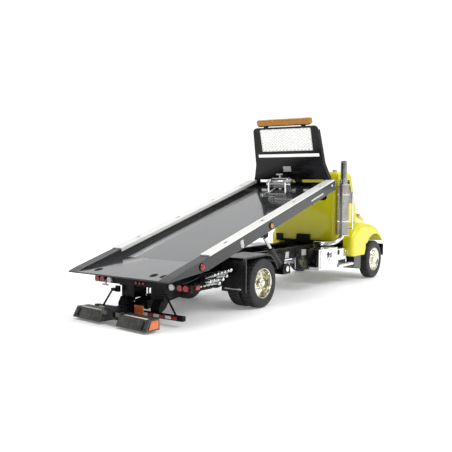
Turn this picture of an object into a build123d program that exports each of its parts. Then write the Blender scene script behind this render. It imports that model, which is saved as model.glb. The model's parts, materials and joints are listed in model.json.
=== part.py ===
from build123d import *
import os
from math import sin, cos, radians

os.makedirs("parts", exist_ok=True)

# ------------------------------------------------------------------
# Toy rollback tow truck, die-cast scale 1:34, millimetres.
# Frame: +X forward, +Y to the driver's (left) side, +Z up.  The origin
# is on the ground under the middle of the whole model.  Every x below
# counts from the rear axle, which lies at X0.
# ------------------------------------------------------------------
X0 = -46.854                       # rear axle, from the middle of the model
WHEELBASE = 168.5                  # rear axle to front axle
TYRE_R = 15.0                      # tyre outer radius, so also the axle height
BEAD_R = 9.3                       # tyre bead radius = rim radius
AXLE_R = 1.5                       # steel axle shafts
CLEARANCE = 0.05                   # radial running clearance of turning fits
TREAD_OUT = 36.2                   # outer face of the outer tyres
TYRE_W = 8.2                       # tyre width
DUAL_PITCH = 9.7                   # spacing of the two rear tyres of a pair

RAIL_IN, RAIL_OUT = 10.8, 14.6     # chassis rails, from the centre line
RAIL_Z0, RAIL_Z1 = 22.5, 30.0      # chassis rails, bottom and top

BED_TILT = 15.6                    # degrees, front of the bed raised
TAIL_X, TAIL_Z = -89.6, 26.3       # tail tip of the bed, on its rail-top line
BED_L = 192.0                      # bed length, tail tip to headboard
BED_HALF = 35.9                    # half width over the side rails
BED_IN = 29.3                      # inner face of the side rails
BED_RAIL_H = 7.0                   # side rail height
FLOOR_H = 4.2                      # floor lies this far under the rail tops
HINGE_X, HINGE_Z = -38.5, 28.5     # bed hinge on the chassis
PIN_R = 1.2                        # pivot pins
PIN_HEAD_R = 1.9                   # button heads of the pivot pins

LIFT_X, LIFT_Z = 52.0, 17.5        # lift cylinder foot pivots
LIFT_TOP_X, LIFT_TOP_Z = 26.0, 41.7    # lift cylinder rod eyes at rest
LIFT_Y = 18.5                      # lift cylinders, from the centre line
LIFT_FOOT_OUT = 21.8               # outer face of the foot brackets

BOOM_X, BOOM_Z = -20.0, 14.0       # underlift boom pivot
BOOM_DROP = 6.5                    # degrees, boom pointing down to the rear
LUG_ALONG, LUG_HEIGHT = 44.0, 3.7  # rod lug, along the boom and above it
HEAD_ALONG = 66.0                  # cross head pivot, along the boom
TAIL_FRAME_OUT = 8.0               # outer face of the plates holding the boom

CAB_X0, CAB_X1 = 114.7, 150.0      # cab rear wall and cowl
CAB_HALF = 27.2                    # cab half width
CAB_Z0, CAB_Z1 = 32.5, 84.3        # cab floor and roof
WALL = 1.2                         # cab wall thickness

HOOD_PIN_X, HOOD_PIN_Z = 188.5, 28.5   # hood hinge, ahead of the grille
HOOD_PIN_R = 0.8
GUARD_OUT = 36.0                   # outer face of fenders and mudguards

HANDS = (("left", 1), ("right", -1))

tilt_cos, tilt_sin = cos(radians(BED_TILT)), sin(radians(BED_TILT))
BED_DIR = Vector(tilt_cos, 0, tilt_sin)    # along the bed, tail to headboard
BED_UP = Vector(-tilt_sin, 0, tilt_cos)    # square to the bed floor

drop_cos, drop_sin = cos(radians(BOOM_DROP)), sin(radians(BOOM_DROP))
BOOM_DIR = Vector(-drop_cos, 0, -drop_sin)     # along the boom, to the rear


# ------------------------------------------------------------------
# Places
# ------------------------------------------------------------------
def point(x, y, z):
    return Vector(X0 + x, y, z)


def bed_point(along, y, height):
    return Vector(X0 + TAIL_X, y, TAIL_Z) + BED_DIR * along + BED_UP * height


def bed_coords(x, z):
    """(along, height) on the bed of a place on the truck."""
    return ((x - TAIL_X) * tilt_cos + (z - TAIL_Z) * tilt_sin,
            -(x - TAIL_X) * tilt_sin + (z - TAIL_Z) * tilt_cos)


def boom_xz(along, height):
    """(x, z) on the truck of a place on the underlift boom."""
    return (BOOM_X - along * drop_cos - height * drop_sin,
            BOOM_Z - along * drop_sin + height * drop_cos)


LUG_X, LUG_Z = boom_xz(LUG_ALONG, LUG_HEIGHT)
HEAD_X, HEAD_Z = boom_xz(HEAD_ALONG, 0)


def on_side(hand, inner, outer):
    """The y span between two distances from the centre line; hand +1 is left."""
    return (inner, outer) if hand > 0 else (-outer, -inner)


def both_sides(inner, outer):
    return on_side(1, inner, outer), on_side(-1, inner, outer)


def around(middle, half):
    return middle - half, middle + half


# ------------------------------------------------------------------
# Planes.  Side planes read (x, z) and face right; top planes (x, y);
# cross planes (y, z) and face forward.  The bed's own planes read
# (along, height), (along, y) and (y, height).
# ------------------------------------------------------------------
def side(y=0.0):
    return Plane(origin=(X0, y, 0), x_dir=(1, 0, 0), z_dir=(0, -1, 0))


def top(z=0.0):
    return Plane(origin=(X0, 0, z), x_dir=(1, 0, 0), z_dir=(0, 0, 1))


def cross(x=0.0):
    return Plane(origin=(X0 + x, 0, 0), x_dir=(0, 1, 0), z_dir=(1, 0, 0))


def bed_side(y=0.0):
    return Plane(origin=bed_point(0, y, 0), x_dir=BED_DIR, z_dir=(0, -1, 0))


def bed_top(height=0.0):
    return Plane(origin=bed_point(0, 0, height), x_dir=BED_DIR, z_dir=BED_UP)


def bed_cross(along=0.0):
    return Plane(origin=bed_point(along, 0, 0), x_dir=(0, 1, 0), z_dir=BED_DIR)


# ------------------------------------------------------------------
# Shapes pushed along a plane's normal
# ------------------------------------------------------------------
def prism(plane, points, depth, mode=Mode.ADD):
    with BuildSketch(plane) as outline:
        with BuildLine():
            Polyline(*points, close=True)
        make_face()
    extrude(outline.sketch, amount=depth, dir=plane.z_dir, mode=mode)


def panel(plane, centre, size, depth, radius=0.0, mode=Mode.ADD):
    """A rectangle, with round corners where a radius is given."""
    with BuildSketch(plane) as outline:
        with Locations(centre):
            if radius > 0:
                RectangleRounded(size[0], size[1], radius)
            else:
                Rectangle(size[0], size[1])
    extrude(outline.sketch, amount=depth, dir=plane.z_dir, mode=mode)


def disc(plane, centre, radius, depth, mode=Mode.ADD):
    with BuildSketch(plane) as outline:
        with Locations(centre):
            Circle(radius)
    extrude(outline.sketch, amount=depth, dir=plane.z_dir, mode=mode)


# The same shapes filling a y span, low value first
def side_prism(points, y, mode=Mode.ADD):
    prism(side(y[1]), points, y[1] - y[0], mode)


def side_panel(centre, size, y, radius):
    panel(side(y[1]), centre, size, y[1] - y[0], radius)


def side_disc(centre, radius, y, mode=Mode.ADD):
    disc(side(y[1]), centre, radius, y[1] - y[0], mode)


def bed_prism(points, y, mode=Mode.ADD):
    prism(bed_side(y[1]), points, y[1] - y[0], mode)


def bed_disc(centre, radius, y, mode=Mode.ADD):
    disc(bed_side(y[1]), centre, radius, y[1] - y[0], mode)


def box_on(plane, first, second, depth, mode):
    panel(plane, (sum(first) / 2, sum(second) / 2),
          (first[1] - first[0], second[1] - second[0]), depth, mode=mode)


def block(x, y, z, mode=Mode.ADD):
    """A box between two values on each axis."""
    box_on(top(z[0]), x, y, z[1] - z[0], mode)


def bed_block(along, y, height, mode=Mode.ADD):
    """A box in the bed's own directions."""
    box_on(bed_top(height[0]), along, y, height[1] - height[0], mode)


def bar(start, end, radius, mode=Mode.ADD):
    """A round rod between two points."""
    run = end - start
    plane = Plane(origin=start, z_dir=run.normalized())
    disc(plane, (0, 0), radius, run.length, mode)


def save(piece, name):
    piece.part.label = name
    export_step(piece.part, f"parts/{name}.step")


# ==================================================================
# CHASSIS
# ==================================================================
WEB = 1.2                          # rail web thickness
FLANGE = 0.9                       # rail flange thickness
RAIL_REAR, RAIL_FRONT = -43, 189.7
FLANGE_FRONT = 186
TAIL_CUT_X, TAIL_CUT_Z = -39.5, 27.4   # bevel on the rails' upper rear corner
NOSE_X = 190.3                     # front of the upper part of the rails
LIFT_FOOT_Z = 14                   # underside of the lift foot brackets
CROSS_MEMBERS = ((-34, -31), (24, 32), (70, 73), (106, 114), (136, 139), (182, 184.4))

with BuildPart() as chassis_frame:
    for y in both_sides(RAIL_OUT - WEB, RAIL_OUT):
        side_prism([(RAIL_REAR, RAIL_Z0), (RAIL_FRONT, RAIL_Z0), (RAIL_FRONT, 26.6),
                    (NOSE_X, 27.0), (NOSE_X, RAIL_Z1), (TAIL_CUT_X, RAIL_Z1),
                    (RAIL_REAR, TAIL_CUT_Z)], y)
    # flanges, and solid rail ends
    for y in both_sides(RAIL_IN, RAIL_OUT - WEB):
        block((RAIL_REAR, FLANGE_FRONT), y, (RAIL_Z0, RAIL_Z0 + FLANGE))
        block((TAIL_CUT_X, FLANGE_FRONT), y, (RAIL_Z1 - FLANGE, RAIL_Z1))
        side_prism([(RAIL_REAR, RAIL_Z0), (-33, RAIL_Z0), (-33, RAIL_Z1),
                    (TAIL_CUT_X, RAIL_Z1), (RAIL_REAR, TAIL_CUT_Z)], y)
        block((184, RAIL_FRONT), y, (RAIL_Z0, RAIL_Z1))
        block((189.6, NOSE_X), y, (27.0, RAIL_Z1))
    for x in CROSS_MEMBERS:
        block(x, (-RAIL_OUT + WEB, RAIL_OUT - WEB), (RAIL_Z0, 28.0))
    # lift cylinder foot brackets: inner plate, base, outer cheek
    for y in both_sides(RAIL_OUT, 16.3):
        side_prism([(47, 28), (60, 28), (57, LIFT_FOOT_Z), (47.5, LIFT_FOOT_Z)], y)
    for y in both_sides(16.3, LIFT_FOOT_OUT):
        block((47.5, 57), y, (LIFT_FOOT_Z, 15.2))
    for y in both_sides(20.7, LIFT_FOOT_OUT):
        side_prism([(47.5, LIFT_FOOT_Z), (57, LIFT_FOOT_Z), (57, 19), (54.5, 21.2),
                    (49.5, 21.2), (47.5, 19)], y)
    # pin holes
    for centre, radius, half in (((LIFT_X, LIFT_Z), PIN_R, LIFT_FOOT_OUT),
                                 ((HINGE_X, HINGE_Z), PIN_R, RAIL_OUT),
                                 ((HOOD_PIN_X, HOOD_PIN_Z), HOOD_PIN_R, RAIL_OUT)):
        side_disc(centre, radius, around(0, half), Mode.SUBTRACT)
    # blind holes up from under two cross members
    for x in (28, 110):
        disc(top(RAIL_Z0 - 1), (x, 0), 1.25, 10, mode=Mode.SUBTRACT)
save(chassis_frame, "chassis_frame")

TAIL_FRAME_REAR = -68.5
TAIL_FRAME_Z0, TAIL_FRAME_Z1 = 11, 21.9
LIFT_CAN_R = 1.7                   # upright underlift cylinder
MID_PLATE_Y = 6.2                  # inner face of the plates holding the boom

with BuildPart() as tail_frame:
    for y in both_sides(MID_PLATE_Y, TAIL_FRAME_OUT):
        side_prism([(-15, RAIL_Z0), (-43, RAIL_Z0), (-45, TAIL_FRAME_Z1),
                    (TAIL_FRAME_REAR, TAIL_FRAME_Z1), (TAIL_FRAME_REAR, TAIL_FRAME_Z0),
                    (-62, TAIL_FRAME_Z0), (-52, 17), (-29, 17), (-24, TAIL_FRAME_Z0),
                    (-15, TAIL_FRAME_Z0)], y)
    # ledges under the chassis rails
    for y in both_sides(TAIL_FRAME_OUT, RAIL_OUT):
        block((-43, -31), y, (20.6, RAIL_Z0))
    # rear corner blocks and the outer plates forward of them
    for y in both_sides(TAIL_FRAME_OUT, 15.5):
        side_prism([(TAIL_FRAME_REAR, TAIL_FRAME_Z1), (TAIL_FRAME_REAR, TAIL_FRAME_Z0),
                    (-63.5, TAIL_FRAME_Z0), (-61, 14), (-61, TAIL_FRAME_Z1)], y)
    for y in both_sides(13.5, RAIL_OUT):
        side_prism([(-61, TAIL_FRAME_Z1), (-61, 16), (-43, 19), (-43, RAIL_Z0),
                    (-45, TAIL_FRAME_Z1)], y)
    # cross bars; the front one holds the upright cylinder
    block((TAIL_FRAME_REAR, -67.0), around(0, MID_PLATE_Y), (18.4, TAIL_FRAME_Z1))
    block(around(LUG_X, 2.6), around(0, MID_PLATE_Y), (19.6, TAIL_FRAME_Z1))
    disc(top(19.0), (LUG_X, 0), LIFT_CAN_R, 4.0, Mode.SUBTRACT)
    side_disc((BOOM_X, BOOM_Z), PIN_R, around(0, TAIL_FRAME_OUT), Mode.SUBTRACT)
save(tail_frame, "tail_frame")


def pin_heads(centre, half, thickness):
    """Button heads on both ends of a cross pin."""
    for y in both_sides(half, half + thickness):
        side_disc(centre, PIN_HEAD_R, y)


HINGE_PIN_HALF = 16.6
with BuildPart() as pivot_pins:
    # bed hinge, hood hinge, boom pivot, lift cylinder feet
    side_disc((HINGE_X, HINGE_Z), PIN_R, around(0, HINGE_PIN_HALF))
    pin_heads((HINGE_X, HINGE_Z), HINGE_PIN_HALF, 0.9)
    side_disc((HOOD_PIN_X, HOOD_PIN_Z), HOOD_PIN_R, around(0, RAIL_OUT))
    side_disc((BOOM_X, BOOM_Z), PIN_R, around(0, TAIL_FRAME_OUT))
    pin_heads((BOOM_X, BOOM_Z), TAIL_FRAME_OUT, 0.8)
    for y in both_sides(RAIL_OUT, LIFT_FOOT_OUT):
        side_disc((LIFT_X, LIFT_Z), PIN_R, y)
    pin_heads((LIFT_X, LIFT_Z), LIFT_FOOT_OUT, 0.8)
save(pivot_pins, "pivot_pins")


def springs_and_pads(x, z_mid, half_span, pad_half, pad_z0):
    """Leaf springs bowed down from the rails, each on a pad over the axle."""
    z_eye = RAIL_Z0
    for y in both_sides(11.0, 14.2):
        left_eye, right_eye = x - half_span, x + half_span
        with BuildSketch(side(y[1])) as bow:
            with BuildLine():
                ThreePointArc((left_eye, z_eye), (x, z_mid), (right_eye, z_eye))
                Line((right_eye, z_eye), (right_eye, z_eye - 1.0))
                ThreePointArc((right_eye, z_eye - 1.0), (x, z_mid - 2.0),
                              (left_eye, z_eye - 1.0))
                Line((left_eye, z_eye - 1.0), (left_eye, z_eye))
            make_face()
        extrude(bow.sketch, amount=y[1] - y[0], dir=(0, -1, 0))
        block(around(x, pad_half), y, (pad_z0, z_mid + 0.5))


def axle_bore(x):
    side_disc((x, TYRE_R), AXLE_R + CLEARANCE, around(0, 18), Mode.SUBTRACT)


AXLE_BEAM_HALF = 17.4
with BuildPart() as rear_axle_housing:
    side_disc((0, TYRE_R), 3.4, around(0, AXLE_BEAM_HALF))
    with Locations(point(0, 0, TYRE_R)):
        Sphere(6.2)
    springs_and_pads(0, z_mid=20.0, half_span=22, pad_half=3.5, pad_z0=15)
    axle_bore(0)
save(rear_axle_housing, "rear_axle_housing")

with BuildPart() as front_axle_beam:
    side_disc((WHEELBASE, TYRE_R), 2.6, around(0, AXLE_BEAM_HALF))
    springs_and_pads(WHEELBASE, z_mid=19.0, half_span=17.5, pad_half=3, pad_z0=13)
    axle_bore(WHEELBASE)
save(front_axle_beam, "front_axle_beam")

# ------------------------------------------------------------------
# Wheels
# ------------------------------------------------------------------
AXLE_HALF = 33.0                   # the shafts end in the wheel hubs
for name, x in (("rear_axle", 0.0), ("front_axle", WHEELBASE)):
    with BuildPart() as axle:
        side_disc((x, TYRE_R), AXLE_R, around(0, AXLE_HALF))
    save(axle, name)


def ring_plane(x):
    """Half section of a wheel: (y, radius)."""
    return Plane(origin=point(x, 0, TYRE_R), x_dir=(0, 1, 0), z_dir=(1, 0, 0))


def wheel_axis(x):
    return Axis((X0 + x, 0, TYRE_R), (0, 1, 0))


def tyre(x, y0, y1):
    """One tyre: crowned tread with four grooves, bulged sidewalls."""
    middle = (y0 + y1) / 2
    bulge_r = BEAD_R + 2.6
    wall_r, corner_r, tread_r = TYRE_R - 1.0, TYRE_R - 0.45, TYRE_R - 0.15
    with BuildSketch(ring_plane(x)) as section:
        with BuildLine():
            Polyline((y0 + 0.9, BEAD_R), (y1 - 0.9, BEAD_R))
            ThreePointArc((y1 - 0.9, BEAD_R), (y1, bulge_r), (y1 - 0.5, wall_r))
            ThreePointArc((y1 - 0.5, wall_r), (y1 - 0.75, corner_r), (y1 - 1.3, tread_r))
            ThreePointArc((y1 - 1.3, tread_r), (middle, TYRE_R), (y0 + 1.3, tread_r))
            ThreePointArc((y0 + 1.3, tread_r), (y0 + 0.75, corner_r), (y0 + 0.5, wall_r))
            ThreePointArc((y0 + 0.5, wall_r), (y0, bulge_r), (y0 + 0.9, BEAD_R))
        make_face()
        groove_pitch = (y1 - y0) * 0.17
        with Locations(*[(middle + k * groove_pitch, TYRE_R) for k in (-1.5, -0.5, 0.5, 1.5)]):
            Rectangle(0.42, 1.3, mode=Mode.SUBTRACT)
    revolve(section.sketch, axis=wheel_axis(x), revolution_arc=360)


for name, x, offsets in (("front_tyres", WHEELBASE, (0,)),
                         ("rear_tyres", 0.0, (0, DUAL_PITCH))):
    with BuildPart() as tyres:
        for offset in offsets:
            for y in both_sides(TREAD_OUT - TYRE_W - offset, TREAD_OUT - offset):
                tyre(x, *y)
    save(tyres, name)


def wheel_turned(x, hand, profile):
    """Revolve a closed profile given for the left side."""
    with BuildSketch(ring_plane(x)) as section:
        with BuildLine():
            Polyline(*[(hand * y, r) for y, r in profile], close=True)
        make_face()
    revolve(section.sketch, axis=wheel_axis(x), revolution_arc=360)


def wheel_face(x, y, facing):
    """Plane square to the axle, centred on it; facing is the y sense of its normal."""
    return Plane(origin=point(x, y, TYRE_R), x_dir=(1, 0, 0), z_dir=(0, facing, 0))


def wheel_nuts(x, y, hand, circle_r, start_angle, height):
    with BuildSketch(wheel_face(x, hand * y, hand)) as nuts:
        with PolarLocations(circle_r, 10, start_angle=start_angle):
            RegularPolygon(0.5, 6)
    extrude(nuts.sketch, amount=height, dir=(0, hand, 0))


# Wheel half sections: (distance from the centre line, radius)
RIM_IN, RIM_OUT = 28.3, 35.5
FRONT_DISC_Y, REAR_DISC_Y = 34.9, 30.2     # faces the nuts stand on
FRONT_WHEEL_PROFILE = [
    (RIM_IN, 8.4), (RIM_IN, BEAD_R), (RIM_OUT, BEAD_R), (35.9, 9.0), (35.7, 8.5),
    (34.9, 8.2), (34.6, 7.4), (34.9, 6.2), (35.0, 4.4), (FRONT_DISC_Y, 3.1), (36.0, 3.0),
    (36.2, 2.4), (36.2, 0.8), (36.0, 0.0), (AXLE_HALF, 0.0), (AXLE_HALF, AXLE_R),
    (30.0, AXLE_R), (30.0, 3.0), (33.6, 3.2), (33.6, 7.4), (33.2, 8.2)]
REAR_WHEEL_PROFILE = [
    (18.4, 8.5), (18.4, BEAD_R), (RIM_OUT, BEAD_R), (35.9, 9.0), (35.7, 8.5),
    (34.6, 8.3), (33.0, 7.9), (30.6, 7.7), (REAR_DISC_Y, 7.2), (REAR_DISC_Y, 3.4),
    (34.2, 3.1), (34.7, 2.7), (34.7, 2.1), (35.6, 1.9), (35.9, 1.3), (35.9, 0.0),
    (AXLE_HALF, 0.0), (AXLE_HALF, AXLE_R), (20.0, AXLE_R), (20.0, 3.2), (28.8, 3.4),
    (28.8, 8.5)]
HOLE_START_Y = 37                  # hand holes are cut inward from here

for side_name, hand in HANDS:
    # front wheel: crowned disc near the rim's outer edge
    with BuildPart() as front_wheel:
        wheel_turned(WHEELBASE, hand, FRONT_WHEEL_PROFILE)
        with BuildSketch(wheel_face(WHEELBASE, hand * HOLE_START_Y, -hand)) as hand_holes:
            with PolarLocations(6.5, 10):
                Circle(0.62)
        extrude(hand_holes.sketch, amount=4.5, dir=(0, -hand, 0), mode=Mode.SUBTRACT)
        wheel_nuts(WHEELBASE, FRONT_DISC_Y, hand, circle_r=4.4, start_angle=18, height=0.8)
    save(front_wheel, f"front_wheel_{side_name}")

    # rear pair of wheels: one deep-dished casting
    with BuildPart() as rear_wheel:
        wheel_turned(0.0, hand, REAR_WHEEL_PROFILE)
        with BuildSketch(wheel_face(0, hand * HOLE_START_Y, -hand)) as hand_holes:
            with PolarLocations(6.1, 5, start_angle=18):
                SlotOverall(2.2, 1.5, rotation=90)
        extrude(hand_holes.sketch, amount=9.0, dir=(0, -hand, 0), mode=Mode.SUBTRACT)
        wheel_nuts(0, REAR_DISC_Y, hand, circle_r=4.5, start_angle=0, height=0.9)
    save(rear_wheel, f"rear_wheel_{side_name}")

# ------------------------------------------------------------------
# Rear mudguards, flaps and front bumper
# ------------------------------------------------------------------
# Bent sheet over the rear wheels, (x, z): upper face forward, lower face back
MUDGUARD = [(-23.0, 30.6), (-22.0, 31.9), (5.5, 32.4), (8.5, 31.6), (13.4, 27.6), (17.2, 22.4),
            (16.4, 21.9), (12.7, 26.9), (8.1, 30.7), (5.3, 31.5), (-21.8, 31.0), (-22.3, 30.3)]
FLAP_X = -18.9                     # rear face of the flaps
STAY_X = (-14, -11)

with BuildPart() as rear_fenders:
    for y in both_sides(17.4, GUARD_OUT):
        side_prism(MUDGUARD, y)
        block((-20.7, FLAP_X), y, (29.2, 31.4))
    # stays to the chassis rails
    for _, hand in HANDS:
        block(STAY_X, on_side(hand, RAIL_OUT, 17.6), (28.0, 29.6))
        block(STAY_X, on_side(hand, 17.4, 18.6), (28.0, 31.6))
save(rear_fenders, "rear_fenders")

with BuildPart() as mud_flaps:
    for y in both_sides(18.2, 35.4):
        block((FLAP_X, -18.1), y, (11.2, 30.9))
    # splash guards behind the front wheels
    for y in both_sides(RAIL_OUT, 27.4):
        block((144.6, 146.0), y, (14.0, 28.0))
    for y in both_sides(21.0, 34.0):
        side_prism([(133.5, 20.2), (146.0, 20.2), (146.0, 9.5), (142.5, 9.5),
                    (134.0, 12.5)], y)
save(mud_flaps, "mud_flaps")

BUMPER_FRONT_END = (187.6, 35.6)   # (x, y) where the bowed faces end
BUMPER_REAR_END = (186.4, 34.8)
with BuildPart() as front_bumper:
    front_x, front_y = BUMPER_FRONT_END
    rear_x, rear_y = BUMPER_REAR_END
    with BuildSketch(top(16.8)) as plan:
        with BuildLine():
            ThreePointArc((front_x, -front_y), (192.0, 0), (front_x, front_y))
            Line((front_x, front_y), (rear_x, rear_y))
            ThreePointArc((rear_x, rear_y), (190.5, 0), (rear_x, -rear_y))
            Line((rear_x, -rear_y), (front_x, -front_y))
        make_face()
    extrude(plan.sketch, amount=9.4)
save(front_bumper, "front_bumper")

# ------------------------------------------------------------------
# Engine and radiator under the hood
# ------------------------------------------------------------------
ENGINE_X = (153.5, 174.0)
ENGINE_TOP = 40.0
FAN_Z = 33.0
FAN_X = 175.2
RADIATOR_X = (178.6, 180.9)        # foot of the radiator frame
MOUNT_HALF = 13.3                  # mounts reach the rail webs

with BuildPart() as engine:
    block(ENGINE_X, around(0, 6.0), (24.0, ENGINE_TOP))
    panel(top(ENGINE_TOP), (163.5, 0), (19.0, 8.5), 2.6, radius=1.5)
    block((144.0, ENGINE_X[0]), around(0, 4.5), (23.6, 30.5))
    panel(top(19.5), (163.0, 0), (15.0, 8.0), 4.5, radius=1.0)
    # fan on its boss
    disc(cross(ENGINE_X[1]), (0, FAN_Z), 2.0, 2.2)
    with BuildSketch(cross(FAN_X)) as fan:
        with Locations((0, FAN_Z)):
            Circle(2.2)
            with PolarLocations(4.2, 6):
                Rectangle(6.0, 2.2)
    extrude(fan.sketch, amount=0.9)
    # lengthwise drum on the left, crosswise drum on the right
    disc(cross(157.0), (8.0, 33.5), 2.4, 9.0)
    disc(side(-5.5), (165.0, 35.5), 2.6, 3.5)
    # radiator in its frame, and the link to the fan
    block((178.0, 181.5), around(0, 13.0), (30.6, 45.5))
    block(RADIATOR_X, around(0, 9.0), (28.0, 30.6))
    block(RADIATOR_X, around(0, MOUNT_HALF), (25.0, 28.0))
    block((176.1, 178.2), around(0, 1.2), (32.0, 34.0))
    # engine mount across the rails
    block((157.0, 161.0), around(0, MOUNT_HALF), (25.0, 27.6))
save(engine, "engine")

# ------------------------------------------------------------------
# Tail lamps, underride bar
# ------------------------------------------------------------------
LAMP_Z = 20.0
LAMP_BAR_REAR = -70.2
LAMP_REAR = -71.4                  # rear faces of the round lamps
LAMP_R = 1.65
LAMP_DEPTH = LAMP_BAR_REAR - LAMP_REAR

with BuildPart() as tail_lamp_bar:
    panel(cross(LAMP_BAR_REAR), (0, LAMP_Z), (70.0, 3.6), 1.7, radius=0.6)
    for y in both_sides(33.6, 35.0):
        block((-68.6, -62.0), y, (18.6, 21.6))
    for y in both_sides(15.5, 17.2):
        block((-68.6, -62.5), y, (17.4, 21.4))
save(tail_lamp_bar, "tail_lamp_bar")

with BuildPart() as tail_lamps:
    for y in (28.3, 32.4, -28.3, -32.4):
        disc(cross(LAMP_REAR), (y, LAMP_Z), LAMP_R, LAMP_DEPTH)
    for y in both_sides(35.0, 36.0):
        side_panel((-65.2, 20.1), (3.4, 2.0), y, radius=0.7)
    for y in (-2.6, 0.0, 2.6):
        disc(cross(-71.0), (y, LAMP_Z), 0.7, 0.8)
save(tail_lamps, "tail_lamps")

with BuildPart() as reverse_lamps:
    for y in (22.8, -22.8):
        disc(cross(LAMP_REAR), (y, LAMP_Z), LAMP_R, LAMP_DEPTH)
save(reverse_lamps, "reverse_lamps")

with BuildPart() as underride_bar:
    block((-73.4, -70.8), around(0, 32.2), (3.0, 5.6))
    for y in both_sides(9.0, 15.0):
        side_prism([(-72.0, 4.0), (-66.0, 7.5), (-63.7, TAIL_FRAME_Z0),
                    (TAIL_FRAME_REAR, TAIL_FRAME_Z0), (TAIL_FRAME_REAR, 11.4),
                    (-70.0, 11.4), (-72.0, 8.0)], y)
    # slanting stays with their upper brackets
    for _, hand in HANDS:
        bar(point(-71.6, hand * 19.6, 15.2), point(-71.9, hand * 26.8, 5.2), 0.55)
        block((-72.2, -70.2), on_side(hand, 17.2, 20.4), (14.2, 15.8))
        block((-71.2, -69.6), on_side(hand, 15.4, 18.0), (13.8, 17.2))
save(underride_bar, "underride_bar")

# ------------------------------------------------------------------
# Control valves and levers, right side
# ------------------------------------------------------------------
LEVERS = 6
LEVER_PITCH = 3.3
LEVER_X = -45.6                    # rearmost lever
VALVE_FACE_Y = -24.6               # outer face of the valve block

with BuildPart() as control_valves:
    block((-47.5, -27.0), (VALVE_FACE_Y, -18.5), (19.6, 24.6))
    block((-44.0, -31.0), (-18.6, -RAIL_OUT), (23.0, 25.4))
    for k in range(LEVERS):
        block(around(LEVER_X + k * LEVER_PITCH, 1.0), (-26.2, VALVE_FACE_Y), (20.4, 23.8))
    for k in range(5):
        disc(top(17.4), (-44.0 + k * 3.6, -21.4), 1.0, 2.2)
save(control_valves, "control_valves")

with BuildPart() as control_levers:
    for k in range(LEVERS):
        x = LEVER_X + k * LEVER_PITCH
        rise = 0.25 * k            # each lever stands a little higher
        bar(point(x, -26.4, 22.2), point(x + 0.9, -31.2, 24.4 + rise), 0.42)
        with Locations(point(x + 0.95, -31.5, 24.5 + rise)):
            Sphere(0.85)
save(control_levers, "control_levers")

# ------------------------------------------------------------------
# Cab mounts on the rails
# ------------------------------------------------------------------
SILL_HALF = 15.4
SILL_FRONT = 116.8
STOP_REAR = 112.9                  # rear faces of the two stops

with BuildPart() as cab_mounts:
    for y in both_sides(RAIL_IN, SILL_HALF):
        for x in ((118.0, 124.0), (141.0, 147.0)):
            block(x, y, (RAIL_Z1, 31.2))
            disc(top(31.1), (sum(x) / 2, sum(y) / 2), 2.0, CAB_Z0 - 31.1)
    # rear sill beam under the cab's back wall, with two stops
    block((113.2, SILL_FRONT), around(0, SILL_HALF), (RAIL_Z1, CAB_Z0))
    block((STOP_REAR, CAB_X0), (-6.0, 5.0), (31.0, 36.8))
    block((STOP_REAR, CAB_X0), (18.0, 23.0), (31.0, 36.4))
    block((STOP_REAR, SILL_FRONT), (15.0, 23.0), (31.0, CAB_Z0))
save(cab_mounts, "cab_mounts")

# ------------------------------------------------------------------
# Toolboxes and step tanks
# ------------------------------------------------------------------
TOOLBOX_X = 90.5                   # middle of the boxes
TOOLBOX_OUT = 34.0
TOOLBOX_Z0, TOOLBOX_H = 14.6, 14.6
LATCH_Z = 22.6

with BuildPart() as toolboxes:
    for _, hand in HANDS:
        y_middle = hand * (RAIL_OUT + TOOLBOX_OUT) / 2
        panel(top(TOOLBOX_Z0), (TOOLBOX_X, y_middle), (29.0, TOOLBOX_OUT - RAIL_OUT),
              TOOLBOX_H, radius=0.6)
        # raised door with a round paddle latch
        side_panel((TOOLBOX_X, TOOLBOX_Z0 + TOOLBOX_H / 2), (26.0, 12.4),
                   on_side(hand, TOOLBOX_OUT, TOOLBOX_OUT + 0.5), radius=0.8)
        side_disc((TOOLBOX_X, LATCH_Z), 2.6, on_side(hand, TOOLBOX_OUT, TOOLBOX_OUT + 0.9))
        side_panel((TOOLBOX_X, LATCH_Z), (1.6, 3.6),
                   on_side(hand, TOOLBOX_OUT, TOOLBOX_OUT + 1.4), radius=0.5)
save(toolboxes, "toolboxes")

TANK_OUT = 31.6
TREAD_PITCH = 2.0

with BuildPart() as step_tanks:
    for _, hand in HANDS:
        panel(top(19.0), (116.6, hand * (RAIL_OUT + TANK_OUT) / 2),
              (19.0, TANK_OUT - RAIL_OUT), 8.2, radius=2.4)
        # lower step with its tread, hung on two straps
        panel(top(14.0), (119.5, hand * 26.8), (25.0, 15.6), 1.6, radius=0.7)
        for x in (109.6, 123.6):
            block(around(x, 0.8), on_side(hand, 21.5, 31.9), (15.2, 19.4))
        for k in range(5):
            rib_y = 25.2 + k * TREAD_PITCH
            block((109.0, 130.5), on_side(hand, rib_y, rib_y + 0.8), (15.5, 16.0))
save(step_tanks, "step_tanks")

# ==================================================================
# CAB
# ==================================================================
WIND_FOOT_X, WIND_FOOT_Z = 149.0, 58.5     # windscreen foot
WIND_HEAD_X, WIND_HEAD_Z = 139.5, 82.6     # windscreen head
REAR_WINDOW_Z = 70.6
REAR_WINDOW_SIZE = (39.4, 15.6)
REAR_WINDOW_R = 2.6
DOOR_WINDOW = [(120.5, 60.2), (145.2, 60.2), (137.6, 78.4), (120.5, 78.4)]     # (x, z)
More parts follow.
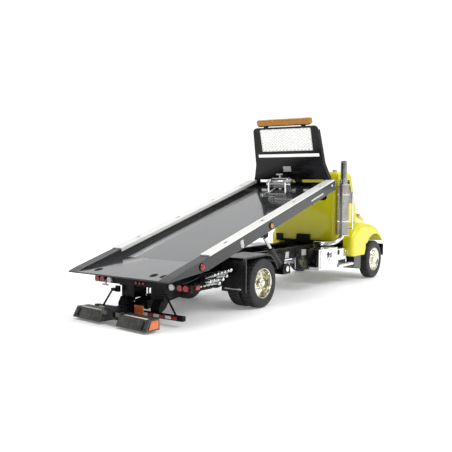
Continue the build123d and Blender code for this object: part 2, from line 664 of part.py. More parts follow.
# Outer and inner edges of the pressed door line, (x, z)
SHUT_LINE_OUT = [(118.9, 35.2), (148.2, 35.2), (148.2, 59.4), (139.2, 80.6), (118.9, 80.6)]
SHUT_LINE_IN = [(119.3, 35.6), (147.8, 35.6), (147.8, 59.3), (138.9, 80.2), (119.3, 80.2)]
GLASS_INSET = 0.3                  # glass lies this far under the outer faces
wind_plane = Plane(origin=point((WIND_FOOT_X + WIND_HEAD_X) / 2, 0,
                                (WIND_FOOT_Z + WIND_HEAD_Z) / 2),
                   x_dir=(0, 1, 0),
                   z_dir=Vector(WIND_HEAD_Z - WIND_FOOT_Z, 0,
                                WIND_FOOT_X - WIND_HEAD_X).normalized())


def rear_window(x, depth, mode=Mode.ADD):
    panel(cross(x), (0, REAR_WINDOW_Z), REAR_WINDOW_SIZE, depth, REAR_WINDOW_R, mode)


def door_window(y, mode=Mode.ADD):
    with BuildSketch(side(y[1])) as window:
        with BuildLine():
            Polyline(*DOOR_WINDOW, close=True)
        make_face()
        fillet(window.vertices(), 1.6)
    extrude(window.sketch, amount=y[1] - y[0], mode=mode)


def windscreen(offset, depth, mode=Mode.ADD):
    """Both halves, running inward from an offset off the screen's face."""
    with BuildSketch(wind_plane.offset(offset)) as screen:
        with GridLocations(23.6, 0, 2, 1):
            RectangleRounded(22.4, 18.6, 2.0)
    extrude(screen.sketch, amount=-depth, mode=mode)


with BuildPart() as cab_shell:
    side_prism([(CAB_X0, CAB_Z0), (CAB_X1, CAB_Z0), (CAB_X1, WIND_FOOT_Z - 1.5),
                (WIND_FOOT_X, WIND_FOOT_Z), (WIND_HEAD_X - 0.7, CAB_Z1),
                (CAB_X0, CAB_Z1)], around(0, CAB_HALF))
    rear_corners = cab_shell.edges().filter_by(Axis.Z).filter_by_position(
        Axis.X, X0 + CAB_X0 - 0.1, X0 + CAB_X0 + 0.1)
    fillet(rear_corners, 4.2)
    roof = cab_shell.faces().filter_by(Axis.Z).sort_by(Axis.Z)[-1]
    fillet(roof.edges(), 3.2)
    # hollow in two cuts: narrow up to the rounded roof, wide below it
    front_wall = [(CAB_X1 - WALL, CAB_Z0 + WALL), (CAB_X1 - WALL, WIND_FOOT_Z - 2.0),
                  (148.0 - WALL * 0.6, WIND_FOOT_Z - 0.3)]
    ceiling = CAB_Z1 - WALL - 0.6
    side_prism([(CAB_X0 + WALL, CAB_Z0 + WALL), *front_wall,
                (WIND_HEAD_X - WALL, 81.2), (135.6, ceiling), (CAB_X0 + 3.4, ceiling),
                (CAB_X0 + WALL, CAB_Z1 - 4.2)],
               around(0, CAB_HALF - WALL - 1.4), Mode.SUBTRACT)
    side_prism([(CAB_X0 + 4.4, CAB_Z0 + WALL), *front_wall,
                (WIND_HEAD_X - WALL - 0.6, 79.6), (CAB_X0 + 4.4, 79.6)],
               around(0, CAB_HALF - WALL), Mode.SUBTRACT)
    rear_window(CAB_X0 - 1, 4.0, Mode.SUBTRACT)
    door_window(around(0, CAB_HALF + 1), Mode.SUBTRACT)
    windscreen(1.5, 4.5, Mode.SUBTRACT)
    # door shut lines, pressed 0.3 deep
    for _, hand in HANDS:
        with BuildSketch(side(hand * (CAB_HALF + 0.5))) as shut_line:
            with BuildLine():
                Polyline(*SHUT_LINE_OUT, close=True)
            make_face()
            with BuildLine():
                Polyline(*SHUT_LINE_IN, close=True)
            make_face(mode=Mode.SUBTRACT)
        extrude(shut_line.sketch, amount=0.8 * hand, dir=(0, -1, 0), mode=Mode.SUBTRACT)
save(cab_shell, "cab_shell")

with BuildPart() as cab_glass:
    rear_window(CAB_X0 + GLASS_INSET, 0.7)
    for y in both_sides(CAB_HALF - GLASS_INSET - 0.7, CAB_HALF - GLASS_INSET):
        door_window(y)
    windscreen(-GLASS_INSET, 0.6)
save(cab_glass, "cab_glass")

SEAT_Y = 12.5
FITTINGS_HALF = 24.0               # half width of floor mat and dashboard
WHEEL_X, WHEEL_Z = 135.2, 56.4     # middle of the steering wheel

with BuildPart() as cab_interior:
    block((CAB_X0 + 4.6, CAB_X1 - 1.4), around(0, FITTINGS_HALF),
          (CAB_Z0 + WALL, CAB_Z0 + 2.6))
    for y in (-SEAT_Y, SEAT_Y):
        panel(top(CAB_Z0 + 2.5), (125.5, y), (11.0, 15.0), 9.0, radius=1.6)
        side_prism([(119.6, 40), (123.4, 40), (121.8, 66), (118.6, 66)], around(y, 7.0))
    side_prism([(140.5, 35.0), (148.0, 35.0), (148.0, 56.8), (144.0, 57.0), (140.0, 52.0)],
               around(0, FITTINGS_HALF))
    # steering column and wheel on the driver's side
    bar(point(141.5, SEAT_Y, 52.5), point(WHEEL_X, SEAT_Y, WHEEL_Z), 0.7)
    with BuildSketch(Plane(origin=point(WHEEL_X, SEAT_Y, WHEEL_Z),
                           z_dir=(-6.3, 0, 3.9))) as steering_wheel:
        Circle(4.6)
        Circle(3.8, mode=Mode.SUBTRACT)
        Rectangle(8.0, 0.9)
        Rectangle(0.9, 8.0)
    extrude(steering_wheel.sketch, amount=0.7)
save(cab_interior, "cab_interior")

with BuildPart() as roof_lamps:
    for y in (-18.0, -6.5, 0.0, 6.5, 18.0):
        with BuildSketch(top(CAB_Z1)) as lamp:
            with Locations((131.0, y)):
                SlotOverall(4.4, 2.4)
        extrude(lamp.sketch, amount=1.5)
save(roof_lamps, "roof_lamps")

# ------------------------------------------------------------------
# Exhaust on the cab's right rear corner, and the grab handles
# ------------------------------------------------------------------
STACK_X, STACK_Y = 116.8, -32.1    # exhaust stack axis
ELBOW_Z = 39.5                     # the elbow starts here, inside the silencer
# Bottom z, radius and height of silencer, neck, clamp, clamp neck, tail pipe
STACK_STEPS = [(38.0, 3.3, 37.5), (75.5, 2.2, 2.0), (76.4, 3.1, 1.5),
               (77.9, 2.6, 1.0), (78.9, 2.3, 13.4)]

with BuildPart() as exhaust_stack:
    for z, radius, height in STACK_STEPS:
        disc(top(z), (STACK_X, STACK_Y), radius, height)
    disc(top(80.0), (STACK_X, STACK_Y), 1.8, 13.0, Mode.SUBTRACT)
    # slant-cut tip, higher at the front
    side_prism([(STACK_X - 4, 90.4), (STACK_X + 4, 93.6), (STACK_X + 4, 96),
                (STACK_X - 4, 96)], around(STACK_Y, 4), Mode.SUBTRACT)
    # elbow down to the chassis
    with BuildLine() as run:
        Spline(point(STACK_X, STACK_Y, ELBOW_Z), point(STACK_X - 2.4, STACK_Y + 1.6, 34.2),
               point(109.0, -27.4, 31.4), point(103.6, -21.6, 31.3),
               point(101.6, -16.6, 31.3), tangents=[(0, 0, -1), (0, 1, 0)])
    with BuildSketch(Plane(origin=point(STACK_X, STACK_Y, ELBOW_Z),
                           z_dir=(0, 0, -1))) as pipe_section:
        Circle(1.7)
    sweep(pipe_section.sketch, path=run.line)
save(exhaust_stack, "exhaust_stack")

with BuildPart() as exhaust_shield:
    with BuildSketch(top(37.0)) as sleeve:
        with Locations((STACK_X, STACK_Y)):
            Circle(4.4)
            Circle(3.8, mode=Mode.SUBTRACT)
    extrude(sleeve.sketch, amount=38.0)
    # two brackets to the cab corner, clear of the sleeve's bore
    for z in (46.0, 66.0):
        block((CAB_X0 + 5.6, CAB_X0 + 7.4), (-29.6, -CAB_HALF), (z, z + 1.6))
save(exhaust_shield, "exhaust_shield")

HANDLE_X, HANDLE_Y = 124.6, 36.05
HANDLE_Z = (41.8, 68.8)            # lower and upper arms
with BuildPart() as grab_handles:
    # a tall upright standing off each side of the cab on two arms
    for _, hand in HANDS:
        for z in HANDLE_Z:
            bar(point(HANDLE_X, hand * CAB_HALF, z), point(HANDLE_X, hand * HANDLE_Y, z), 0.42)
        bar(point(HANDLE_X, hand * HANDLE_Y, HANDLE_Z[0] - 0.6),
            point(HANDLE_X, hand * HANDLE_Y, HANDLE_Z[1] + 0.6), 0.54)
save(grab_handles, "grab_handles")

# ==================================================================
# HOOD with front fenders, one casting, hinged at the nose
# ==================================================================
HOOD_X0, HOOD_X1 = 150.6, 186.0
HOOD_Z0 = 31.0
HOOD_HALF_REAR, HOOD_HALF_FRONT = 25.4, 18.6
HOOD_TOP_REAR, HOOD_TOP_FRONT = 57.0, 49.4
FENDER_TOP = 44.6                  # fender height at the rear of the hood
FENDER_Z0 = 28.9
SKIRT_Z0 = 20.4
FENDER_NOSE_X = 187.2
ARCH_R = 20.6
GRILLE_Z = 39.6
GRILLE_SIZE = (25.0, 14.4)
GRILLE_R = 1.6
HEAD_LAMP_X, HEAD_LAMP_Y, HEAD_LAMP_Z = 178.6, 26.4, 33.6     # rear of the pockets
HEAD_LAMP_R = 3.1
SIDE_LAMP_SEATS = [((164.8, 168.8), y, (48.8, 51.2)) for y in both_sides(18.2, 22.9)]


def hood_section(x, half, z0, z1, r):
    """Cross section of the hood: flat bottom, rounded shoulders, crowned top."""
    arc_mid = 0.293 * r
    crown_z = z1 - 0.01
    with BuildSketch(cross(x)) as section:
        with BuildLine():
            Polyline((-half, z0), (half, z0), (half, z1 - r))
            ThreePointArc((half, z1 - r), (half - arc_mid, z1 - arc_mid), (half - r, crown_z))
            ThreePointArc((half - r, crown_z), (0, z1 + 0.8), (-half + r, crown_z))
            ThreePointArc((-half + r, crown_z), (-half + arc_mid, z1 - arc_mid),
                          (-half, z1 - r))
            Line((-half, z1 - r), (-half, z0))
        make_face()
    return section.sketch


def on_guard_face(edge):
    return abs(abs(edge.center().Y) - GUARD_OUT) < 0.02


with BuildPart() as hood:
    loft([hood_section(HOOD_X0, HOOD_HALF_REAR, HOOD_Z0, HOOD_TOP_REAR, 8.0),
          hood_section(HOOD_X1, HOOD_HALF_FRONT, HOOD_Z0, HOOD_TOP_FRONT, 6.0)], ruled=True)
    for y in both_sides(18.0, GUARD_OUT):
        with BuildSketch(side(y[1])) as fender:
            with BuildLine():
                Spline((HOOD_X0, FENDER_TOP), (160.0, 44.0), (168.0, 42.3), (176.0, 39.2),
                       (182.5, 34.8), (FENDER_NOSE_X, FENDER_Z0))
                Polyline((FENDER_NOSE_X, FENDER_Z0), (HOOD_X0, FENDER_Z0),
                         (HOOD_X0, FENDER_TOP))
            make_face()
        extrude(fender.sketch, amount=y[1] - y[0], dir=(0, -1, 0))
    for y in both_sides(27.9, GUARD_OUT):
        with BuildSketch(side(y[1])) as skirt:
            with BuildLine():
                Polyline((HOOD_X0, FENDER_TOP), (HOOD_X0, SKIRT_Z0), (127.6, SKIRT_Z0),
                         (126.4, 21.6), (126.4, 34.6))
                Spline((126.4, 34.6), (132.0, 40.4), (140.5, 44.2), (HOOD_X0, FENDER_TOP))
            make_face()
        extrude(skirt.sketch, amount=y[1] - y[0], dir=(0, -1, 0))
    # soften the fender crowns, then the rear edges of the skirts
    crown = hood.edges().filter_by(
        lambda e: on_guard_face(e) and e.center().Z > 31.0 and e.length > 8.0)
    fillet(crown, 3.2)
    skirt_edge = hood.edges().filter_by(Axis.Z).filter_by(
        lambda e: on_guard_face(e) and e.center().X < X0 + 128)
    fillet(skirt_edge, 3.0)
    # hollow, open underneath and to the rear
    loft([hood_section(HOOD_X0 - 0.1, HOOD_HALF_REAR - 1.3, 26.0, HOOD_TOP_REAR - 1.3, 7.0),
          hood_section(HOOD_X1 - 1.4, HOOD_HALF_FRONT - 1.0, 26.0, HOOD_TOP_FRONT - 1.2, 5.2)],
         ruled=True, mode=Mode.SUBTRACT)
    # wheel arches, then the hollow of the skirts
    for y in both_sides(18.8, 37.0):
        side_disc((WHEELBASE, TYRE_R), ARCH_R, y, Mode.SUBTRACT)
    for y in both_sides(27.0, 34.8):
        block((128.0, 146.6), y, (18.0, 33.0), mode=Mode.SUBTRACT)
    # grille opening, headlamp pockets, seats of the side lamps on the shoulders
    panel(cross(HOOD_X1 - 3.0), (0, GRILLE_Z), GRILLE_SIZE, 6.0, GRILLE_R, Mode.SUBTRACT)
    for _, hand in HANDS:
        disc(cross(HEAD_LAMP_X), (hand * HEAD_LAMP_Y, HEAD_LAMP_Z), HEAD_LAMP_R, 10.0,
             Mode.SUBTRACT)
    for seat in SIDE_LAMP_SEATS:
        block(*seat, mode=Mode.SUBTRACT)
    # hinge ears
    for y in both_sides(8.2, 10.2):
        side_prism([(184.7, 32.3), (184.7, 30.4), (187.2, 27.2), (189.6, 27.6),
                    (190.0, 29.4), (187.0, 32.3)], y)
    side_disc((HOOD_PIN_X, HOOD_PIN_Z), HOOD_PIN_R + CLEARANCE, around(0, 10.3),
              Mode.SUBTRACT)
save(hood, "hood")

with BuildPart() as grille:
    with BuildSketch(cross(HOOD_X1 - 1.2)) as frame_ring:
        with Locations((0, GRILLE_Z)):
            RectangleRounded(*GRILLE_SIZE, GRILLE_R)
            RectangleRounded(22.6, 12.0, 1.0, mode=Mode.SUBTRACT)
    extrude(frame_ring.sketch, amount=1.8)
    with BuildSketch(cross(HOOD_X1 - 0.9)) as slats:
        with Locations((0, GRILLE_Z)):
            with GridLocations(2.0, 0, 11, 1):
                Rectangle(0.8, 12.2)
            with GridLocations(0, 4.2, 1, 3):
                Rectangle(22.8, 0.6)
    extrude(slats.sketch, amount=0.9)
save(grille, "grille")

with BuildPart() as head_lamps:
    for _, hand in HANDS:
        centre = (hand * HEAD_LAMP_Y, HEAD_LAMP_Z)
        disc(cross(HEAD_LAMP_X), centre, HEAD_LAMP_R, 5.0)
        disc(cross(HEAD_LAMP_X + 5.0), centre, 2.6, 0.5)
save(head_lamps, "head_lamps")

with BuildPart() as hood_side_lamps:
    for seat in SIDE_LAMP_SEATS:
        block(*seat)
save(hood_side_lamps, "hood_side_lamps")

# ==================================================================
# BED: tilt frame, slide cylinder, deck
# ==================================================================
TILT_Z0 = -9.7                     # underside of the tilt frame rails
TILT_FRONT = 176
SLIDE_HEIGHT = -7.3                # slide cylinder axis
hinge_along, hinge_height = bed_coords(HINGE_X, HINGE_Z)
lift_along, lift_height = bed_coords(LIFT_TOP_X, LIFT_TOP_Z)

with BuildPart() as tilt_frame:
    for y in both_sides(12.4, 15.0):
        bed_block((41, TILT_FRONT), y, (TILT_Z0, -6.4))
    # cross plates under the deck sills, each with a rib below
    for along in (62, 92, 128, 170):
        bed_block((along, along + 6), around(0, 12.5), (TILT_Z0, -9.15))
        bed_block((along + 1.5, along + 4.5), around(0, 10.2), (-11.2, -9.5))
    # hinge ears outside the chassis rails
    for y in both_sides(14.8, 16.4):
        bed_prism([(43, -6.8), (58, -6.8), (hinge_along + 2.6, hinge_height),
                   (hinge_along - 2.6, hinge_height)], y)
        bed_disc((hinge_along, hinge_height), 2.6, y)
    # clevises for the lift cylinder rods
    for y in both_sides(14.9, 21.5):
        bed_block(around(lift_along, 4), y, (TILT_Z0, -7.6))
    for y in both_sides(15.3, 16.3) + both_sides(20.6, 21.5):
        bed_prism([(lift_along - 4, -9.0), (lift_along + 4, -9.0),
                   (lift_along + 2.0, lift_height - 1.6),
                   (lift_along - 2.0, lift_height - 1.6)], y)
    # slide cylinder anchor at the front
    bed_block((173.6, TILT_FRONT), around(0, 2.6), (-9.4, -5.6))
    bed_disc((hinge_along, hinge_height), PIN_R + CLEARANCE, around(0, 16.5), Mode.SUBTRACT)
save(tilt_frame, "tilt_frame")


def slide_bar(along, length, radius, mode=Mode.ADD):
    bar(bed_point(along, 0, SLIDE_HEIGHT), bed_point(along + length, 0, SLIDE_HEIGHT),
        radius, mode)


with BuildPart() as slide_cylinder:
    slide_bar(66.5, 107.1, 1.75)
    slide_bar(66.5, 105.6, 0.95, Mode.SUBTRACT)
save(slide_cylinder, "slide_cylinder")

with BuildPart() as slide_rod:
    slide_bar(60.5, 105.5, 0.9)
save(slide_rod, "slide_rod")

FLOOR_UNDER = -5.0                 # underside of the floor
FLOOR_FRONT = BED_L - 0.5
RAIL_END = BED_L - 1.0             # front end of the side rails
RAMP_END = 35                      # the tail ramp meets the level floor
FLOOR_HALF = BED_IN + 0.5
OUTRIGGER_OUT = BED_IN + 0.4
POCKET_Y = 32.6


def stake_pockets(height, depth):
    """Cut the stake pockets in both rail tops."""
    with BuildSketch(bed_top(height)) as pockets:
        for along in (56, 96, 136, 174):
            with Locations((along, POCKET_Y), (along, -POCKET_Y)):
                Rectangle(3.2, 1.5)
    extrude(pockets.sketch, amount=depth, mode=Mode.SUBTRACT)


with BuildPart() as deck:
    # floor with its tail ramp
    bed_prism([(0, -0.3), (RAMP_END, -FLOOR_H), (FLOOR_FRONT, -FLOOR_H),
               (FLOOR_FRONT, FLOOR_UNDER), (RAMP_END, FLOOR_UNDER), (6, -1.9), (0, -1.1)],
              around(0, FLOOR_HALF))
    # side rails, tapering to the tail and hollow from below
    for y in both_sides(BED_IN, BED_HALF):
        bed_prism([(0, -0.3), (6, 0), (RAIL_END, 0), (RAIL_END, -BED_RAIL_H),
                   (33, -BED_RAIL_H), (0, -1.1)], y)
    for y in both_sides(BED_IN + 1.0, BED_HALF - 1.0):
        bed_prism([(36, -1.0), (BED_L - 2.5, -1.0), (BED_L - 2.5, -BED_RAIL_H - 1),
                   (36, -BED_RAIL_H - 1)], y, Mode.SUBTRACT)
    # sills that run on the tilt frame, and the plate between them
    for y in both_sides(9.0, 11.0):
        bed_prism([(8, -1.8), (34, -9.0), (184, -9.0), (186, FLOOR_UNDER),
                   (RAMP_END, FLOOR_UNDER), (8, -1.6)], y)
    bed_block((58.0, 60.5), around(0, 9.5), (-8.8, -4.8))
    # outriggers under the floor
    for along in range(50, 183, 22):
        for y in both_sides(16.8, OUTRIGGER_OUT):
            bed_block((along, along + 2.4), y, (-6.1, -4.9))
    for y in both_sides(3.2, OUTRIGGER_OUT):
        bed_block((184.0, RAIL_END), y, (-6.2, -4.9))
    # cross strip under the tail
    bed_prism([(4.0, -1.6), (12.0, -2.4), (12.0, -3.2), (4.0, -2.2)], around(0, FLOOR_HALF))
    # keyhole chain slots in the tail
    with BuildSketch(bed_top(-6.0)) as keyholes:
        with Locations(*[(7.6, y) for y in (20.0, 27.0, -20.0, -27.0)]):
            Circle(1.25)
            Rectangle(5.0, 0.9)
    extrude(keyholes.sketch, amount=8.0, mode=Mode.SUBTRACT)
    stake_pockets(-2.0, 4.0)
save(deck, "deck")

with BuildPart() as deck_edge_strips:
    for y in both_sides(BED_IN, 36.2):
        bed_block((36, 190), y, (0.0, 0.6))
    # fine groove along each strip
    for y in both_sides(POCKET_Y - 0.15, POCKET_Y + 0.15):
        bed_block((36, 190), y, (0.35, 0.7), mode=Mode.SUBTRACT)
    stake_pockets(-1.0, 3.0)
save(deck_edge_strips, "deck_edge_strips")

# ------------------------------------------------------------------
# Headboard, its mesh and light bar
# ------------------------------------------------------------------
BOARD = 191.0                      # headboard's rear face, along the bed
BOARD_T = 1.2                      # sheet thickness
BOARD_TOP = 39.8
MESH_CENTRE = (0, 30.2)
MESH_SIZE = (42.6, 16.6)
MESH_R = 0.8
# Left edge of the sheet, upward, and inner edge of its fold, downward: (y, height)
BOARD_EDGE = [(33.3, -FLOOR_H), (30.6, 4.2), (28.4, 12.0), (27.6, 26.0), (26.7, BOARD_TOP)]
FOLD_IN = [(26.9, 36.4), (26.0, 36.4), (26.7, 26.0), (27.5, 12.0), (29.7, 4.2),
           (32.3, -FLOOR_H)]

with BuildPart() as headboard:
    with BuildSketch(bed_cross(BOARD)) as sheet:
        with BuildLine():
            Polyline(*BOARD_EDGE, *[(-y, height) for y, height in reversed(BOARD_EDGE)],
                     close=True)
        make_face()
        fillet(sheet.vertices().group_by(Axis.Y)[-1], 3.2)
        with Locations(MESH_CENTRE):
            RectangleRounded(*MESH_SIZE, MESH_R, mode=Mode.SUBTRACT)
        # long slot under the window, two short ones just above the deck
        with Locations((0, 18.6)):
            RectangleRounded(51.8, 2.4, 0.6, mode=Mode.SUBTRACT)
        with Locations((18.1, -0.6), (-18.1, -0.6)):
            RectangleRounded(18.2, 2.1, 0.5, mode=Mode.SUBTRACT)
    extrude(sheet.sketch, amount=BOARD_T)
    # window surround and folded edges on the front face
    with BuildSketch(bed_cross(BOARD + BOARD_T)) as surround:
        with Locations(MESH_CENTRE):
            RectangleRounded(45.2, 18.6, 1.2)
            RectangleRounded(*MESH_SIZE, MESH_R, mode=Mode.SUBTRACT)
    extrude(surround.sketch, amount=0.9)
    for _, hand in HANDS:
        prism(bed_cross(BOARD + BOARD_T),
              [(hand * y, height) for y, height in BOARD_EDGE[:-1] + FOLD_IN], 2.2)
        # braces on the front face, down to the deck
        bed_prism([(BOARD + 1.1, 14.4), (BOARD + 2.4, 13.4), (BOARD + 3.6, -FLOOR_H),
                   (BOARD + 1.1, -FLOOR_H)], around(7.0 * hand, 0.9))
    bed_block((BOARD + 1.1, BOARD + 2.2), around(0, 27.2), (13.4, 14.8))
save(headboard, "headboard")

with BuildPart() as headboard_mesh:
    # two interleaved grids of diamond holes
    with BuildSketch(bed_cross(BOARD + 0.3)) as mesh:
        with Locations(MESH_CENTRE):
            RectangleRounded(*MESH_SIZE, MESH_R)
            with GridLocations(3.0, 2.0, 14, 8):
                Rectangle(1.45, 1.45, rotation=45, mode=Mode.SUBTRACT)
            with GridLocations(3.0, 2.0, 13, 7):
                Rectangle(1.45, 1.45, rotation=45, mode=Mode.SUBTRACT)
    extrude(mesh.sketch, amount=0.5)
save(headboard_mesh, "headboard_mesh")

LIGHT_BASE_TOP = 41.6
with BuildPart() as light_bar_base:
    bed_block((BOARD - 1.2, BOARD + 2.6), around(0, 21.0), (40.8, LIGHT_BASE_TOP))
    for y in (-15.6, 15.6):
        bed_block((BOARD, BOARD + BOARD_T), around(y, 1.6), (BOARD_TOP, 40.9))
save(light_bar_base, "light_bar_base")

with BuildPart() as light_bar_lens:
    panel(bed_top(LIGHT_BASE_TOP), (BOARD + 0.7, 0), (4.6, 45.4), 4.0, radius=2.2)
    fillet(light_bar_lens.faces().sort_by(Axis.Z)[-1].edges(), 1.1)
save(light_bar_lens, "light_bar_lens")

with BuildPart() as deck_marker_lamps:
    for centre in ((100.3, -4.1), (27.9, -3.3)):
        for y in both_sides(BED_HALF, BED_HALF + 0.7):
            bed_disc(centre, 1.6, y)
save(deck_marker_lamps, "deck_marker_lamps")

# ------------------------------------------------------------------
# Winch on the deck
# ------------------------------------------------------------------
WINCH_ALONG, WINCH_HEIGHT = 176.5, 1.2     # winch drum axis
DRUM = (WINCH_ALONG, WINCH_HEIGHT)
DRUM_SHAFT_R = 1.0
CHEEK_OUT = 7.4
# Bent side plate, (along, height)
WINCH_CHEEK = [(169.5, -3.6), (183.5, -3.6), (182.0, 3.4), (178.5, 5.4), (174.5, 5.4),
               (171.0, 3.4)]

with BuildPart() as winch_frame:
    bed_block((168.5, 184.5), around(0, 7.6), (-FLOOR_H, -3.4))
    for y in both_sides(6.4, CHEEK_OUT):
        bed_prism(WINCH_CHEEK, y)
    # motor on the left, gear case on the right
    bed_disc(DRUM, 2.6, (CHEEK_OUT, 10.8))
    bed_disc(DRUM, 3.9, (-9.8, -CHEEK_OUT))
    # tie rods between the cheeks
    for centre in ((171.6, 2.4), (181.8, -1.2), (WINCH_ALONG, 5.1)):
        bed_disc(centre, 0.5, around(0, 6.6))
    bed_disc(DRUM, DRUM_SHAFT_R + CLEARANCE, around(0, 8.0), Mode.SUBTRACT)
save(winch_frame, "winch_frame")

with BuildPart() as winch_drum:
    bed_disc(DRUM, DRUM_SHAFT_R, around(0, 7.2))
    bed_disc(DRUM, 2.7, around(0, 6.1))
    for y in both_sides(5.3, 6.1):
        bed_disc(DRUM, 3.1, y)
save(winch_drum, "winch_drum")

with BuildPart() as winch_lever:
    # T handle on a round foot, standing over the middle of the drum
    bar(bed_point(WINCH_ALONG, 0, 5.65), bed_point(WINCH_ALONG, 0, 6.45), 1.3)
    bar(bed_point(WINCH_ALONG, 0, 6.3), bed_point(WINCH_ALONG, 0, 8.2), 0.5)
    bar(bed_point(WINCH_ALONG, -2.6, 8.2), bed_point(WINCH_ALONG, 2.6, 8.2), 0.6)
save(winch_lever, "winch_lever")

CABLE_R = 0.42
with BuildPart() as cable_and_hook:
    bar(bed_point(173.4, 3.0, -0.9), bed_point(167.4, 5.4, -2.75), CABLE_R)
    bar(bed_point(167.5, 5.35, -2.72), bed_point(167.0, 9.2, -3.6), CABLE_R)
    # ball over the cable's bend
    with Locations(bed_point(167.45, 5.37, -2.74)):
        Sphere(0.5)
    with BuildSketch(bed_top(-FLOOR_H)) as hook:
        with Locations((167.4, 10.4)):
            Circle(2.3)
            Circle(1.15, mode=Mode.SUBTRACT)
        with Locations((165.0, 12.8)):
            Rectangle(2.6, 2.2, rotation=-45, mode=Mode.SUBTRACT)
    extrude(hook.sketch, amount=1.1)
save(cable_and_hook, "cable_and_hook")

# ==================================================================
# LIFT CYLINDERS
# ==================================================================
LIFT_DIR = Vector(LIFT_TOP_X - LIFT_X, 0, LIFT_TOP_Z - LIFT_Z).normalized()


def lift_bar(y, start, end, radius, mode=Mode.ADD):
    """A rod on a cylinder's axis, between two distances from its foot pivot."""
    foot = point(LIFT_X, y, LIFT_Z)
    bar(foot + LIFT_DIR * start, foot + LIFT_DIR * end, radius, mode)


with BuildPart() as lift_barrels:
    for y in (LIFT_Y, -LIFT_Y):
        lift_bar(y, 0, 21.8, 1.9)
        side_disc((LIFT_X, LIFT_Z), 2.1, around(y, 1.6))
        lift_bar(y, 1.9, 25.0, 1.15, Mode.SUBTRACT)
        side_disc((LIFT_X, LIFT_Z), PIN_R + CLEARANCE, around(y, 2.2), Mode.SUBTRACT)
save(lift_barrels, "lift_barrels")

with BuildPart() as lift_rods:
    for y in (LIFT_Y, -LIFT_Y):
        lift_bar(y, 12.0, 34.0, 1.1)
        with BuildSketch(side(y + 1.2)) as eye:
            with Locations((LIFT_TOP_X, LIFT_TOP_Z)):
                Circle(2.0)
                Circle(1.0, mode=Mode.SUBTRACT)
        extrude(eye.sketch, amount=2.4)
save(lift_rods, "lift_rods")

# ==================================================================
# UNDERLIFT
# ==================================================================
def boom_box(along, half, half_height, mode=Mode.ADD):
    """A box centred on the boom's axis, between two places along it."""
    x, z = boom_xz(along[0], 0)
    plane = Plane(origin=point(x, 0, z), x_dir=(0, 1, 0), z_dir=BOOM_DIR)
    panel(plane, (0, 0), (2 * half, 2 * half_height), along[1] - along[0], mode=mode)


with BuildPart() as underlift_boom:
    boom_box((-1.0, 50.0), 4.6, 2.4)
    side_disc((BOOM_X, BOOM_Z), 2.8, around(0, 5.9))
    boom_box((5.0, 50.5), 3.65, 1.5, Mode.SUBTRACT)
    # lug for the lift rod
    for y in both_sides(1.5, 2.5):
        side_prism([boom_xz(LUG_ALONG + along, height) for along, height in
                    ((-4.0, 2.2), (4.0, 2.2), (2.0, 4.9), (-2.0, 4.9))], y)
    side_disc((BOOM_X, BOOM_Z), PIN_R + CLEARANCE, around(0, 6.2), Mode.SUBTRACT)
save(underlift_boom, "underlift_boom")

SWIVEL = -7.1                      # degrees, the head stands turned on the boom at rest
CRADLE_PIN_X, CRADLE_PIN_Y = 5.2, 4.4  # pins, behind the head pivot and to each side
CRADLE_PIN_R = 0.8
TONGUE_H = 2.4                     # knuckle and cradle tongues, centred on the pivot


def head_plane(z, turn=SWIVEL):
    """Level plane on the head pivot, in the head's own turned directions."""
    turn = radians(turn)
    return Plane(origin=point(HEAD_X, 0, z), x_dir=(cos(turn), sin(turn), 0), z_dir=(0, 0, 1))


with BuildPart() as inner_boom:
    boom_box((14.0, 61.6), 3.6, 1.45)
    with BuildSketch(head_plane(HEAD_Z - TONGUE_H / 2, turn=0)) as knuckle:
        Circle(3.4)
        with Locations((2.6, 0)):
            Rectangle(5.2, 6.8)
    extrude(knuckle.sketch, amount=TONGUE_H)
    disc(head_plane(HEAD_Z - 2.9, turn=0), (0, 0), PIN_R, 6.2)
save(inner_boom, "inner_boom")

with BuildPart() as underlift_head:
    # lower and upper plates around the knuckle and the two cradle pins
    pin_places = [(-CRADLE_PIN_X, CRADLE_PIN_Y), (-CRADLE_PIN_X, -CRADLE_PIN_Y)]
    for z in (HEAD_Z - 2.75, HEAD_Z + 1.3):
        with BuildSketch(head_plane(z)) as cheek:
            Circle(3.6)
            with Locations((-CRADLE_PIN_X / 2, 0)):
                Rectangle(CRADLE_PIN_X, 7.2)
            with Locations((-CRADLE_PIN_X, 0)):
                Rectangle(4.0, 9.4)
            with Locations(*pin_places):
                Circle(1.7)
        extrude(cheek.sketch, amount=1.45)
    panel(head_plane(HEAD_Z - 2.0), (-5.4, 0), (3.0, 4.4), 4.0)
    with BuildSketch(head_plane(HEAD_Z - 2.7)) as pins:
        with Locations(*pin_places):
            Circle(CRADLE_PIN_R)
    extrude(pins.sketch, amount=5.4)
    disc(head_plane(HEAD_Z - 3.0), (0, 0), PIN_R + CLEARANCE, 7.0, Mode.SUBTRACT)
save(underlift_head, "underlift_head")

# Cradle box seen from above, left side, in the head's directions: (x, y)
CRADLE_BASE = [(0.9, 6.6), (0.9, 29.6), (-9.04, 30.3), (-9.04, 6.9)]
CRADLE_LID = [(0.9, 6.6), (0.9, 29.2), (-6.2, 29.9), (-6.2, 6.6)]
TONGUE_END = 7.6                   # the tongue runs into the box


def cradle_outline(z, points, hand):
    with BuildSketch(head_plane(z)) as outline:
        with BuildLine():
            Polyline(*[(x, hand * y) for x, y in points], close=True)
        make_face()
    return outline.sketch


